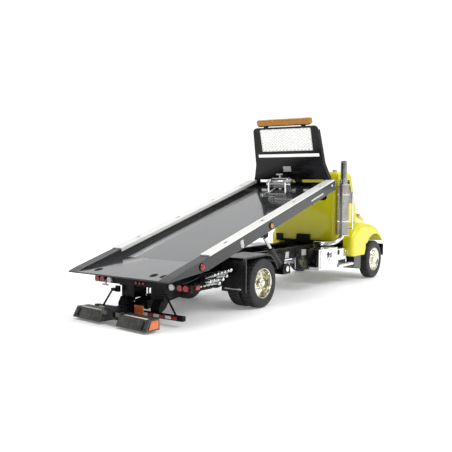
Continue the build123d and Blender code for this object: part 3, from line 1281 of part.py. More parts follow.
for side_name, hand in HANDS:
    with BuildPart() as wheel_cradle:
        # the box, with a sloping rear face
        loft([cradle_outline(1.3, CRADLE_BASE, hand), cradle_outline(6.9, CRADLE_LID, hand)],
             ruled=True)
        # hinge tongue
        tongue_plane = head_plane(HEAD_Z - TONGUE_H / 2)
        pin_place = (-CRADLE_PIN_X, hand * CRADLE_PIN_Y)
        panel(tongue_plane, (-CRADLE_PIN_X, hand * (CRADLE_PIN_Y + TONGUE_END) / 2),
              (3.2, TONGUE_END - CRADLE_PIN_Y), TONGUE_H)
        disc(tongue_plane, pin_place, 1.6, TONGUE_H)
        disc(head_plane(HEAD_Z - 3), pin_place, CRADLE_PIN_R + CLEARANCE, 7.0, Mode.SUBTRACT)
        # open pocket underneath
        panel(head_plane(0.8), (-3.7, hand * 18.4), (6.6, 20.2), 4.5, mode=Mode.SUBTRACT)
    save(wheel_cradle, f"wheel_cradle_{side_name}")

# short upright cylinder that raises the boom
with BuildPart() as underlift_cylinder:
    disc(top(17.2), (LUG_X, 0), LIFT_CAN_R, 6.8)
    disc(top(16.9), (LUG_X, 0), 0.95, 6.8, Mode.SUBTRACT)
save(underlift_cylinder, "underlift_cylinder")

with BuildPart() as underlift_rod:
    disc(top(LUG_Z), (LUG_X, 0), 0.9, 20.5 - LUG_Z)
    side_disc((LUG_X, LUG_Z), 1.15, around(0, 1.1))
save(underlift_rod, "underlift_rod")
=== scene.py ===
"""Recovery truck with a tilted flatbed, a rear boom with wheel cradles, and a winch.

The CAD pieces get their materials and are joined by detailed meshes: tyres, a perforated
stack shield, tapes, lamps, hoses and bolts.
+X points to the cab, +Y to the truck's left, +Z up; the ground is z = 0.
Shapes are drawn in millimetres and scaled to metres as they are added.
"""
import bpy
import bmesh
import json
from math import sin, cos, radians, pi
from mathutils import Vector, Matrix


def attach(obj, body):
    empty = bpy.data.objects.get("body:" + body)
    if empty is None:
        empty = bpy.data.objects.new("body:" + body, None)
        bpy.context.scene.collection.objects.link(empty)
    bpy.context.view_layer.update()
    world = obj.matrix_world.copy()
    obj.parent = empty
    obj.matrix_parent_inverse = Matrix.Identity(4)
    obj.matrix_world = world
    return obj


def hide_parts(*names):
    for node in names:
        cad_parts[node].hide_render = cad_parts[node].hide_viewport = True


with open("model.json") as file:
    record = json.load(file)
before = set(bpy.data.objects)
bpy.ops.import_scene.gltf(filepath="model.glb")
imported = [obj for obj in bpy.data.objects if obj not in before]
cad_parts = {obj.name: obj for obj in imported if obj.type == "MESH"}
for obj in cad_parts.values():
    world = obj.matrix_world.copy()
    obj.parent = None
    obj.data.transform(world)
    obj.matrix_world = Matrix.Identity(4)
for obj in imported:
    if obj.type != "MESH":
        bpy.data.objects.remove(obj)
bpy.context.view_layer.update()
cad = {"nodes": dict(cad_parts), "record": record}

MM = 0.001
SIDES = (1, -1)                    # left, right
REAR_AXLE_X = -46.854              # from the middle of the model
WHEELBASE = 168.5
TYRE_RADIUS = 15.0

# Bed: its rear end, its slope, and its directions forward and up from the floor
BED_TAIL = Vector((REAR_AXLE_X - 89.6, 0, 26.3))
BED_TILT = radians(15.6)
BED_ALONG = Vector((cos(BED_TILT), 0, sin(BED_TILT)))
BED_UP = Vector((-sin(BED_TILT), 0, cos(BED_TILT)))
ACROSS = Vector((0, 1, 0))

# Cradle head: swung about a pivot at the end of the sloping boom
BOOM_ROOT_X = -20
BOOM_LENGTH = 66
BOOM_SLOPE = radians(6.5)
HEAD_PIVOT_X = BOOM_ROOT_X - cos(BOOM_SLOPE) * BOOM_LENGTH
HEAD_TURN = radians(-7.1)

# Exhaust stack, behind the cab on the right
STACK_X, STACK_Y = 116.8, -32.1


# ------------------------------------------------------------------
# Places and directions
# ------------------------------------------------------------------
def truck_pt(x, y, z):
    """A point measured from the ground under the middle of the rear axle."""
    return Vector((REAR_AXLE_X + x, y, z))


def bed_pt(along, y, height):
    return BED_TAIL + BED_ALONG * along + ACROSS * y + BED_UP * height


def head_dir(v):
    return Vector((v[0] * cos(HEAD_TURN) - v[1] * sin(HEAD_TURN),
                   v[0] * sin(HEAD_TURN) + v[1] * cos(HEAD_TURN), v[2]))


def head_pt(x, y, z):
    """A point in the turned head's own directions, from its pivot."""
    turned = head_dir((x, y, z))
    return truck_pt(HEAD_PIVOT_X + turned.x, turned.y, z)


def axes_frame(origin, x, y, z):
    """Matrix with the given origin and axis directions."""
    matrix = Matrix.Identity(4)
    for i, axis in enumerate((x, y, z)):
        axis = Vector(axis).normalized()
        matrix[0][i], matrix[1][i], matrix[2][i] = axis
    matrix[0][3], matrix[1][3], matrix[2][3] = origin
    return matrix


def bed_frame(along, y, height):
    return axes_frame(bed_pt(along, y, height), BED_ALONG, ACROSS, BED_UP)


def truck_frame(x, y, z):
    return axes_frame(truck_pt(x, y, z), (1, 0, 0), (0, 1, 0), (0, 0, 1))


def head_frame(origin, x, y, z):
    return axes_frame(head_pt(*origin), head_dir(x), head_dir(y), head_dir(z))


def facing(origin, normal):
    """Frame whose z axis is the normal."""
    normal = Vector(normal).normalized()
    x = normal.orthogonal().normalized()
    return axes_frame(origin, x, normal.cross(x), normal)


# ------------------------------------------------------------------
# Shader graphs
# ------------------------------------------------------------------
class Graph:
    """Adds nodes to a tree. An input is given a plain value or a socket to link."""

    def __init__(self, owner):
        owner.use_nodes = True
        self.tree = owner.node_tree

    def fill(self, node, inputs):
        for key, value in inputs.items():
            if isinstance(value, bpy.types.NodeSocket):
                self.tree.links.new(value, node.inputs[key])
            else:
                node.inputs[key].default_value = value

    def node(self, kind, inputs={}, **settings):
        node = self.tree.nodes.new("ShaderNode" + kind)
        for key, value in settings.items():
            setattr(node, key, value)
        self.fill(node, inputs)
        return node

    def noise(self, vector, scale, detail):
        inputs = {"Scale": scale, "Detail": detail, "Roughness": 0.55, "Vector": vector}
        return self.node("TexNoise", inputs).outputs["Fac"]

    def rescale(self, value, span=(0, 1), to=(0, 1)):
        inputs = {"From Min": span[0], "From Max": span[1],
                  "To Min": to[0], "To Max": to[1], "Value": value}
        return self.node("MapRange", inputs).outputs["Result"]

    def multiply(self, a, b):
        return self.node("Math", {0: a, 1: b}, operation="MULTIPLY").outputs[0]

    def dot(self, a, b):
        return self.node("VectorMath", {0: a, 1: b}, operation="DOT_PRODUCT").outputs["Value"]

    def mix(self, factor, a, b):
        # A Mix node's colour sockets are inputs 6 and 7 and output 2
        return self.node("Mix", {0: factor, 6: a, 7: b}, data_type="RGBA").outputs[2]


# ------------------------------------------------------------------
# Materials
# ------------------------------------------------------------------
MATERIALS = {}


def material(name, base, rough=0.4, metal=0.0, coat=0.0, coat_rough=0.04, ior=1.5, spec=0.5,
             vary=0.06, vary_scale=60.0, rough_vary=0.08, grain=0.0, grain_scale=2500.0,
             edge=None, edge_amount=0.0, dust=0.0, dust_colour=(0.35, 0.34, 0.32),
             brush=None, trans=0.0, emit=0.0, bevel=0.00018, peel=0.0):
    """Mottled surface with rounded edges.

    vary, vary_scale, rough_vary: strength and scale of the colour and roughness mottling
    edge, edge_amount: colour and strength of the wear on edges
    dust, dust_colour: cover on faces that look up
    bevel: radius of the shaded edge rounding, in metres
    grain, brush, peel: bump of fine grain, of lines stretched by brush, or of orange peel
    """
    made = bpy.data.materials.new(name)
    graph = Graph(made)
    surface = graph.tree.nodes["Principled BSDF"]
    position = graph.node("TexCoord").outputs["Object"]

    darker = [max(0, c * (1 - vary)) for c in base] + [1]
    lighter = [min(1, c * (1 + vary) + 0.002 * vary) for c in base] + [1]
    mottle = graph.noise(position, scale=vary_scale, detail=4.0)
    colour = graph.mix(graph.rescale(mottle, span=(0.3, 0.7)), darker, lighter)
    rough_range = (max(0.0, rough - rough_vary), min(1, rough + rough_vary))
    roughness = graph.rescale(graph.noise(position, scale=vary_scale * 2.3, detail=5.0),
                              span=(0.3, 0.7), to=rough_range)

    rounded = graph.node("Bevel", {"Radius": bevel}, samples=4).outputs["Normal"]
    if edge or dust > 0:
        true_normal = graph.node("NewGeometry").outputs["Normal"]
    if edge:
        # Edges are where the rounded normal leaves the true one
        mask = graph.rescale(graph.dot(rounded, true_normal), span=(0.995, 0.90))
        patches = graph.rescale(graph.noise(position, scale=420.0, detail=4.0),
                                span=(0.42, 0.62), to=(0.0, edge_amount))
        colour = graph.mix(graph.multiply(mask, patches), colour, (*edge, 1))
    if dust > 0:
        normal_z = graph.node("SeparateXYZ", {0: true_normal}).outputs["Z"]
        upward = graph.rescale(normal_z, span=(0.2, 1.0), to=(0.0, dust))
        patches = graph.rescale(graph.noise(position, scale=180.0, detail=6.0),
                                span=(0.4, 0.75), to=(0.1, 1.0))
        colour = graph.mix(graph.multiply(upward, patches), colour, (*dust_colour, 1))
    graph.fill(surface, {
        "Base Color": colour, "Roughness": roughness, "Metallic": metal, "IOR": ior,
        "Specular IOR Level": spec, "Coat Weight": coat, "Coat Roughness": coat_rough,
        "Transmission Weight": trans})
    if emit > 0:
        graph.fill(surface, {"Emission Color": colour, "Emission Strength": emit})

    if brush:
        stretched = graph.node("Mapping", {"Vector": position, "Scale": brush})
        texture = graph.noise(stretched.outputs["Vector"], scale=1.0, detail=4.0)
        relief = grain
    elif grain > 0:
        texture = graph.noise(position, scale=grain_scale, detail=3.0)
        relief = grain
    elif peel > 0:
        texture = graph.noise(position, scale=700.0, detail=1.0)
        relief = peel
    else:
        texture = graph.noise(position, scale=1500.0, detail=2.0)
        relief = 0.06
    height = graph.rescale(texture, span=(0.2, 0.8), to=(0.0, relief))
    bump = graph.node("Bump", {"Strength": 1.0, "Distance": 0.00002,
                               "Height": height, "Normal": rounded})
    graph.fill(surface, {"Normal": bump.outputs["Normal"]})
    if coat > 0:
        graph.fill(surface, {"Coat Normal": rounded})
    MATERIALS[name] = made


# Paints
material("yellow_paint", base=(0.74, 0.68, 0.008), rough=0.34, spec=0.25, coat=0.45,
         vary=0.035, vary_scale=25, peel=0.12, edge=(0.95, 0.88, 0.25), edge_amount=0.35,
         bevel=0.0003)
material("deck_paint", base=(0.022, 0.023, 0.025), rough=0.14, coat=0.6, coat_rough=0.03,
         ior=1.45, spec=0.35, vary=0.08, vary_scale=18, rough_vary=0.05, peel=0.05,
         edge=(0.45, 0.45, 0.45), edge_amount=0.6)
material("gloss_black", base=(0.006, 0.006, 0.008), rough=0.2, spec=0.2, coat=0.2,
         coat_rough=0.03, vary=0.2, vary_scale=40, peel=0.08, edge=(0.16, 0.16, 0.17),
         edge_amount=0.5)
material("satin_black", base=(0.006, 0.006, 0.008), rough=0.36, spec=0.14, vary=0.25,
         vary_scale=120, rough_vary=0.12, grain=0.35, grain_scale=3000,
         edge=(0.14, 0.14, 0.14), edge_amount=0.6, dust=0.01)
material("rail_black", base=(0.022, 0.022, 0.024), rough=0.28, coat=0.5, coat_rough=0.15,
         vary=0.2, peel=0.1, edge=(0.25, 0.25, 0.25), edge_amount=0.6)
material("cylinder_black", base=(0.03, 0.03, 0.033), rough=0.42, vary=0.2, vary_scale=150,
         grain=0.25, edge=(0.2, 0.2, 0.2), edge_amount=0.5)
material("cradle_grey", base=(0.058, 0.058, 0.052), rough=0.42, vary=0.12, vary_scale=200,
         grain=0.3, grain_scale=2200, edge=(0.3, 0.3, 0.28), edge_amount=0.5, dust=0.06)

# Metals
material("chrome", base=(0.74, 0.745, 0.75), rough=0.08, metal=1.0, vary=0.03,
         vary_scale=90, rough_vary=0.04, edge=(1, 1, 1), edge_amount=0.3)
material("rim_metal", base=(0.84, 0.82, 0.71), rough=0.13, metal=1.0, vary=0.05,
         vary_scale=150, rough_vary=0.06, edge=(1, 0.98, 0.9), edge_amount=0.4)
material("bright_steel", base=(0.72, 0.72, 0.71), rough=0.2, metal=1.0, vary_scale=300)
material("bright_strip", base=(0.90, 0.90, 0.875), rough=0.42, metal=0.25, vary=0.035,
         vary_scale=50, rough_vary=0.1, brush=(60, 2500, 2500), grain=0.25,
         edge=(1, 1, 1), edge_amount=0.3)
material("mesh_steel", base=(0.93, 0.93, 0.90), rough=0.35, metal=0.35, vary=0.05,
         vary_scale=200, edge=(1, 1, 1), edge_amount=0.3, bevel=0.00008)
material("shield_steel", base=(0.50, 0.485, 0.43), rough=0.33, metal=1.0, vary=0.10,
         vary_scale=90, rough_vary=0.1, bevel=0.00006)
material("engine_grey", base=(0.20, 0.20, 0.21), rough=0.5, metal=0.6, vary=0.15,
         vary_scale=200, grain=0.6, edge=(0.5, 0.5, 0.5), edge_amount=0.5)

# Rubber and plastic
material("tyre_rubber", base=(0.030, 0.030, 0.031), rough=0.62, spec=0.4, vary=0.2,
         vary_scale=130, rough_vary=0.1, grain=0.5, grain_scale=3500, dust=0.12,
         dust_colour=(0.16, 0.155, 0.15), edge=(0.1, 0.1, 0.1), edge_amount=0.5)
material("flap_rubber", base=(0.012, 0.012, 0.014), rough=0.3, coat=0.3, coat_rough=0.2,
         vary=0.2, vary_scale=90, grain=0.3, edge=(0.12, 0.12, 0.12), edge_amount=0.4)
material("hose_rubber", base=(0.012, 0.012, 0.013), rough=0.35, vary=0.2, vary_scale=300,
         grain=0.5, grain_scale=4000)
material("interior_plastic", base=(0.05, 0.05, 0.055), rough=0.6, vary=0.15,
         vary_scale=150, grain=0.7)

# Glass and lenses
material("window_glass", base=(0.03, 0.035, 0.035), rough=0.03, coat=1.0, coat_rough=0.01,
         vary=0.1, vary_scale=20, rough_vary=0.01, trans=0.85, ior=1.45)
material("amber_lens", base=(0.54, 0.225, 0.004), rough=0.14, coat=0.5, vary=0.02,
         rough_vary=0.02, trans=0.2, spec=0.3, emit=0.05)
material("red_lens", base=(0.34, 0.012, 0.010), rough=0.12, spec=0.3, coat=0.5,
         coat_rough=0.03, vary=0.12, vary_scale=400, trans=0.15, emit=0.03)
material("clear_lens", base=(0.88, 0.88, 0.86), rough=0.08, coat=0.8, vary=0.05,
         vary_scale=400, trans=0.2)

# Tapes, reflectors and plates
material("white_tape", base=(0.86, 0.86, 0.83), rough=0.35, vary=0.04, vary_scale=400,
         grain=0.3, grain_scale=3000)
material("cream_tape", base=(0.95, 0.92, 0.76), vary_scale=400, grain=0.3,
         grain_scale=3000)
material("red_tape", base=(0.42, 0.02, 0.018), rough=0.35, vary=0.08, vary_scale=400,
         grain=0.3, grain_scale=3000)
material("orange_reflector", base=(0.80, 0.19, 0.05), rough=0.25, coat=0.6, vary=0.08,
         vary_scale=500, grain=0.4, grain_scale=1800)
material("pale_plate", base=(0.62, 0.60, 0.58), vary=0.12, vary_scale=700, grain=0.2)


def rub_deck_floor():
    """Bares the deck paint to metal on the floor between the rails."""
    graph = Graph(MATERIALS["deck_paint"])
    surface = graph.tree.nodes["Principled BSDF"]
    painted = surface.inputs["Base Color"].links[0].from_socket
    coords = graph.node("TexCoord").outputs
    faces_up = graph.rescale(graph.dot(coords["Normal"], BED_UP), span=(0.90, 0.96))
    y = graph.node("SeparateXYZ", {0: coords["Object"]}).outputs["Y"]
    distance = graph.node("Math", {0: y}, operation="ABSOLUTE").outputs[0]
    between_rails = graph.rescale(distance, span=(0.0300, 0.0293))    # metres
    floor_mask = graph.multiply(faces_up, between_rails)

    wear = graph.node("TexNoise", {"Scale": 22.0, "Detail": 5.0, "Vector": coords["Object"]})
    ramp = graph.node("ValToRGB", {0: wear.outputs["Fac"]})
    dark, light = ramp.color_ramp.elements
    dark.position, light.position = 0.3, 0.7
    dark.color = (0.200, 0.206, 0.214, 1)
    light.color = (0.235, 0.241, 0.249, 1)
    bare_metalness = 0.88
    graph.fill(surface, {
        "Base Color": graph.mix(floor_mask, painted, ramp.outputs["Color"]),
        "Metallic": graph.multiply(floor_mask, bare_metalness),
        "Coat Weight": graph.rescale(floor_mask, to=(0.3, 0.75))})


# Slots whose material goes by another name
SLOT_ALIASES = {"chassis_black": "satin_black", "bumper_black": "gloss_black",
                "reflective_white": "white_tape"}


def slot_material(slot):
    return MATERIALS[SLOT_ALIASES.get(slot, slot)]


def paint_cad_pieces():
    slot_of = {part["node"]: part["material_slot"] for part in cad["record"]["subparts"]}
    for name, piece in cad["nodes"].items():
        piece.data.materials.clear()
        piece.data.materials.append(slot_material(slot_of[name]))
        for polygon in piece.data.polygons:
            polygon.material_index = 0


# ------------------------------------------------------------------
# Mesh helpers, in millimetres
# ------------------------------------------------------------------
def add(name, shape, body, slot=None, material=None, smooth=35.0):
    """Makes the shape an object that rides on a body, in a slot's or a named material."""
    bmesh.ops.recalc_face_normals(shape, faces=shape.faces)
    mesh = bpy.data.meshes.new(name)
    for vert in shape.verts:
        vert.co *= MM
    shape.to_mesh(mesh)
    shape.free()
    mesh.materials.append(slot_material(slot) if slot else MATERIALS[material])
    for polygon in mesh.polygons:
        polygon.use_smooth = True
    mesh.set_sharp_from_angle(angle=radians(smooth))
    piece = bpy.data.objects.new(name, mesh)
    bpy.context.scene.collection.objects.link(piece)
    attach(piece, body)
    return piece


def bevel_and_place(shape, verts, edges, bevel, frame):
    """Rounds all the edges of a new solid, then moves it into its frame."""
    result = bmesh.ops.bevel(shape, geom=list(edges), offset=bevel, segments=2,
                             affect="EDGES", profile=0.5)
    placed = {v for face in result["faces"] for v in face.verts}
    placed |= {v for v in verts if v.is_valid}
    for vert in placed:
        vert.co = frame @ vert.co


def box(shape, size, frame, bevel):
    verts = bmesh.ops.create_cube(shape, size=1.0)["verts"]
    for vert in verts:
        vert.co = Vector([c * length for c, length in zip(vert.co, size)])
    edges = {edge for v in verts for edge in v.link_edges}
    bevel_and_place(shape, verts, edges, min(bevel, min(size) * 0.45), frame)


def plate(shape, outline, thick, frame, bevel):
    """A polygon in local xy, from z = 0 to z = thick."""
    low = [shape.verts.new((x, y, 0)) for x, y in outline]
    high = [shape.verts.new((x, y, thick)) for x, y in outline]
    faces = [shape.faces.new(low[::-1]), shape.faces.new(high)]
    count = len(outline)
    for i in range(count):
        j = (i + 1) % count
        faces.append(shape.faces.new((low[i], low[j], high[j], high[i])))
    edges = {edge for face in faces for edge in face.edges}
    bevel_and_place(shape, low + high, edges, bevel, frame)


def skin(shape, rings, closed=False):
    """Joins each ring to the next; a ring of one vertex is a tip. Open ends are capped."""
    following = rings[1:] + rings[:1] if closed else rings[1:]
    for this, other in zip(rings, following):
        count = max(len(this), len(other))
        for i in range(count):
            j = (i + 1) % count
            if len(this) == 1:
                shape.faces.new((this[0], other[j], other[i]))
            elif len(other) == 1:
                shape.faces.new((this[i], this[j], other[0]))
            else:
                shape.faces.new((this[i], this[j], other[j], other[i]))
    if not closed:
        for ring in (rings[0], rings[-1]):
            if len(ring) > 1:
                shape.faces.new(ring)


def lathe(shape, profile, frame, segs=32, closed=False):
    """Turns a profile of (radius, height) about local z."""
    rings = []
    for radius, height in profile:
        if radius < 1e-6:
            rings.append([shape.verts.new(frame @ Vector((0, 0, height)))])
            continue
        angles = [2 * pi * i / segs for i in range(segs)]
        rings.append([shape.verts.new(frame @ Vector((radius * cos(a), radius * sin(a), height)))
                      for a in angles])
    skin(shape, rings, closed)


def smooth_path(points):
    """Catmull-Rom curve through three or more points."""
    steps = 8
    points = [Vector(p) for p in points]
    ends = [points[0] * 2 - points[1]], [points[-1] * 2 - points[-2]]
    knots = ends[0] + points + ends[1]
    path = []
    for i in range(1, len(knots) - 2):
        a, b, c, d = knots[i - 1:i + 3]
        for k in range(steps):
            t = k / steps
            path.append(0.5 * ((2 * b) + (c - a) * t + (2 * a - 5 * b + 4 * c - d) * t * t
                               + (3 * b - a - 3 * c + d) * t ** 3))
    path.append(points[-1])
    return path


def tube(shape, path, radius, segs=10, closed=False):
    """Round tube whose cross-section is carried along the path without twisting."""
    rings = []
    up = None
    count = len(path)
    for i, point in enumerate(path):
        if closed:
            along = (path[(i + 1) % count] - path[i - 1]).normalized()
        else:
            along = (path[min(i + 1, count - 1)] - path[max(i - 1, 0)]).normalized()
        if up is None:
            up = along.orthogonal().normalized()
        up = (up - along * up.dot(along)).normalized()
        side = along.cross(up)
        angles = [2 * pi * k / segs for k in range(segs)]
        rings.append([shape.verts.new(point + (up * cos(a) + side * sin(a)) * radius)
                      for a in angles])
    skin(shape, rings, closed)


def hex_bolt(shape, frame, radius, height):
    """Hex head with a domed face and a washer under it."""
    washer = [(radius * 1.35, 0), (radius * 1.35, 0.12), (radius * 1.2, 0.16)]
    head = [(radius, 0.14), (radius, height * 0.85), (radius * 0.82, height),
            (0, height * 1.03)]
    lathe(shape, washer, frame, 20)
    lathe(shape, head, frame, 6)


# ------------------------------------------------------------------
# Tyres: ribbed tread with cross grooves, sidewall rings
# ------------------------------------------------------------------
def tyre(shape, axle_x, y_low, y_high):
    bead, crown, segs = 9.3, TYRE_RADIUS, 132
    ring_depth, cross_depth = 0.62, 0.42
    width, middle = y_high - y_low, (y_low + y_high) / 2
    half = width / 2
    # Bead to shoulder: offset from the middle plane, radius, cut by the cross grooves
    sidewall = [
        (half - 0.9, bead, False), (half - 0.55, bead + 0.25, False),
        (half - 0.18, bead + 0.9, False), (half - 0.02, bead + 1.9, False),
        (half, bead + 2.1, False), (half, bead + 2.6, False),
        (half - 0.12, bead + 2.75, False), (half - 0.1, bead + 3.6, False),
        (half - 0.22, bead + 4.1, False), (half - 0.3, bead + 4.6, False),
        (half - 0.55, crown - 0.75, False), (half - 0.8, crown - 0.35, True),
        (half - 1.25, crown - 0.12, True)]
    # Four grooves round the tread, in the same columns
    tread = []
    for pitch in (1.5, 0.5, -0.5, -1.5):
        groove = width * 0.17 * pitch
        tread += [(groove + 0.30, crown - 0.02, True), (groove + 0.20, crown - ring_depth, False),
                  (groove - 0.20, crown - ring_depth, False), (groove - 0.30, crown - 0.02, True)]
    profile = [(-offset, radius, cut) for offset, radius, cut in sidewall + tread]
    profile += sidewall[::-1]

    hub = truck_pt(axle_x, 0, TYRE_RADIUS)
    rings = []
    for offset, radius, cut in profile:
        # The +Y half is turned by half a step, so the cross grooves slant at mid-tread
        shift = 0.5 if offset > 0 else 0
        ring = []
        for i in range(segs):
            reach = radius - cross_depth if cut and i % 4 == 0 else radius
            angle = 2 * pi * (i + shift) / segs
            ring.append(shape.verts.new(
                hub + Vector((reach * cos(angle), middle + offset, reach * sin(angle)))))
        rings.append(ring)
    skin(shape, rings, closed=True)


def tyres():
    left_outer, right_outer = (28.0, 36.2), (-36.2, -28.0)
    left_inner, right_inner = (18.3, 26.5), (-26.5, -18.3)
    for node, body, axle_x, spans in (
            ("front_tyres", "front_wheels", WHEELBASE, (left_outer, right_outer)),
            ("rear_tyres", "rear_wheels", 0.0,
             (left_outer, left_inner, right_outer, right_inner))):
        for k, span in enumerate(spans):
            shape = bmesh.new()
            tyre(shape, axle_x, *span)
            piece = add(f"{node}_tread_{k + 1}", shape, body, slot="tyre_rubber", smooth=28)
            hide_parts(node)


# ------------------------------------------------------------------
# Perforated heat shield round the stack
# ------------------------------------------------------------------
def perforated_shield():
    columns, rows = 44, 62
    z_low, z_high = 37.6, 74.4
    outer_radius, inner_radius = 4.4, 4.15
    hole_u = 0.31                  # half sizes of a hole, in grid cells
    hole_v = hole_u * 0.9

    def point(u, v, radius):
        angle = 2 * pi * u / columns
        return truck_pt(STACK_X, STACK_Y, 0) + Vector(
            (radius * cos(angle), radius * sin(angle), z_low + (z_high - z_low) * v / rows))

    shape = bmesh.new()
    outer, inner = {}, {}          # vertices at the grid corners of each wall
    for j in range(rows):
        for i in range(columns):
            right = (i + 1) % columns
            corners = [(i, j), (right, j), (right, j + 1), (i, j + 1)]
            u, v = i + 0.5, j + 0.5
            hole = [(u - hole_u, v - hole_v), (u + hole_u, v - hole_v),
                    (u + hole_u, v + hole_v), (u - hole_u, v + hole_v)]
            rims = []
            for wall, radius, order in ((outer, outer_radius, 1), (inner, inner_radius, -1)):
                for corner in corners:
                    if corner not in wall:
                        wall[corner] = shape.verts.new(point(*corner, radius))
                rim = [shape.verts.new(point(*place, radius)) for place in hole]
                for k in range(4):
                    n = (k + 1) % 4
                    face = (wall[corners[k]], wall[corners[n]], rim[n], rim[k])
                    shape.faces.new(face[::order])
                rims.append(rim)
            for k in range(4):
                n = (k + 1) % 4
                shape.faces.new((rims[0][k], rims[0][n], rims[1][n], rims[1][k]))
    for j in (0, rows):
        for i in range(columns):
            n = (i + 1) % columns
            shape.faces.new((outer[i, j], outer[n, j], inner[n, j], inner[i, j]))
    return add("perforated_shield", shape, "chassis", slot="shield_steel", smooth=50)


def shield_bands():
    shape = bmesh.new()
    stack = truck_frame(STACK_X, STACK_Y, 0)
    for z in (37.0, 74.3):         # end collars
        collar = [(4.0, z), (4.55, z), (4.62, z + 0.35), (4.55, z + 0.7), (4.0, z + 0.7)]
        lathe(shape, collar, stack, 48, closed=True)
    for z in (47.0, 66.8):         # bands with a block beside them
        band = [(4.42, z), (4.66, z), (4.66, z + 1.0), (4.42, z + 1.0)]
        lathe(shape, band, stack, 48, closed=True)
        box(shape, (2.2, 4.4, 1.2), truck_frame(STACK_X + 3.6, STACK_Y + 5.0, z + 0.5), 0.2)
    add("shield_bands", shape, "chassis", slot="bright_steel")


# ------------------------------------------------------------------
# Wheel cradles and boom
# ------------------------------------------------------------------
def cradle_trim(name, side):
    """Top strip, ribbed grip, end slot and end reflector of one cradle."""
    body = f"cradle_{name}"
    shape = bmesh.new()
    box(shape, (1.7, 17.4, 0.16),
        head_frame((-4.9, side * 18.2, 6.95), (1, 0, 0), (0, 1, 0), (0, 0, 1)), 0.05)
    add(f"{name}_cradle_strip", shape, body, material="cream_tape")

    # Rear face: its directions up the slope and outward, and its lower edge
    slope, out = Vector((0.452, 0, 0.892)), Vector((-0.892, 0, 0.452))
    face_x, face_z = -9.04, 1.3

    def on_face(y, up_slope, lift):
        origin = Vector((face_x, side * y, face_z)) + slope * up_slope + out * lift
        return head_frame(origin, slope, (0, 1, 0), out)

    mid_slope = 3.1
    shape = bmesh.new()
    ribs, rib_span = 11, 4.7
    box(shape, (5.2, 15.6, 0.18), on_face(16.6, mid_slope, 0.05), 0.06)
    for k in range(ribs):
        up_slope = mid_slope - rib_span / 2 + rib_span * k / (ribs - 1)
        box(shape, (0.22, 15.2, 0.18), on_face(16.6, up_slope, 0.16), 0.06)
    add(f"{name}_cradle_grip", shape, body, slot="cradle_grey")

    shape = bmesh.new()
    box(shape, (4.6, 1.9, 0.16), on_face(26.6, mid_slope, 0.05), 0.05)
    for k in (-1, 1):
        hex_bolt(shape, on_face(28.7, mid_slope + 1.7 * k, 0), 0.32, 0.3)
    add(f"{name}_cradle_slot", shape, body, slot="gloss_black")

    backward = Vector((-1, 0.085 * side, 0))
    upward = Vector((0, -0.0714 * side, 1))
    normal = backward.cross(upward) * side
    outline = [(0.9, 0.7), (8.0, 0.7), (5.9, 4.9), (0.9, 4.9)]      # backward, upward
    shape = bmesh.new()
    plate(shape, outline, 0.28,
          head_frame((0.9, side * 29.62, 1.3), backward, upward, normal), 0.08)
    add(f"{name}_cradle_reflector", shape, body, material="orange_reflector")


def boom_reflector():
    shape = bmesh.new()
    box(shape, (0.5, 6.4, 5.0), truck_frame(-80.5, -8.3, 7.7), 0.2)
    add("boom_side_reflector", shape, "inner_boom", material="orange_reflector")
    shape = bmesh.new()
    for size, place in (((0.9, 7.2, 1.0), (-79.8, -7.0, 5.6)),
                        ((0.9, 1.0, 5.4), (-79.8, -5.6, 7.6)),
                        ((3.2, 3.0, 1.0), (-78.4, -4.4, 7.2))):
        box(shape, size, truck_frame(*place), 0.15)
    add("boom_side_bracket", shape, "inner_boom", slot="chassis_black")


# ------------------------------------------------------------------
# Tapes, tags and plates, all blank
# ------------------------------------------------------------------
def underride_tape():
    red, white = bmesh.new(), bmesh.new()
    pieces, first_y, pitch = 14, -26.4, 4.06
    for k in range(pieces):
        box(white if k % 2 else red, (0.12, 3.9, 1.7),
            truck_frame(-73.44, first_y + pitch * k, 4.3), 0.03)
    add("underride_red_tape", red, "chassis", material="red_tape")
    add("underride_white_tape", white, "chassis", material="white_tape")


def mud_flap_strips():
    shape = bmesh.new()
    for side in SIDES:
        box(shape, (0.2, 11.8, 1.1), truck_frame(-18.95, side * 26.3, 13.2), 0.06)
    add("mud_flap_strips", shape, "chassis", slot="bright_steel")


def deck_tags():
    shape = bmesh.new()
    box(shape, (3.0, 0.22, 4.2), bed_frame(67.2, -35.98, -3.9), 0.08)
    for side in SIDES:
        box(shape, (18.0, 0.16, 1.1), bed_frame(162.5, side * 35.95, -4.25), 0.06)
    box(shape, (0.2, 6.5, 4.0), bed_frame(190.9, 1.8, 8.6), 0.06)
    add("deck_blank_tags", shape, "deck", material="pale_plate")


def tie_ring():
    """Ring under the tag on the deck's right side."""
    shape = bmesh.new()
    centre, radius, points = bed_pt(67.2, -36.2, -5.3), 0.95, 20
    angles = [2 * pi * i / points for i in range(points)]
    path = [centre + BED_ALONG * (radius * cos(a)) + BED_UP * (radius * sin(a)) for a in angles]
    tube(shape, path, 0.26, 8, closed=True)
    add("deck_tie_ring", shape, "deck", slot="chrome")


def rail_strips():
    shape = bmesh.new()
    for side in SIDES:
        box(shape, (153.6, 0.3, 2.3), bed_frame(113.0, side * 29.2, -0.62), 0.1)
        for along in (60, 100, 140, 178):
            box(shape, (3.0, 0.2, 0.9), bed_frame(along, side * 29.02, -1.0), 0.06)
    add("rail_inner_strips", shape, "deck", slot="bright_strip")


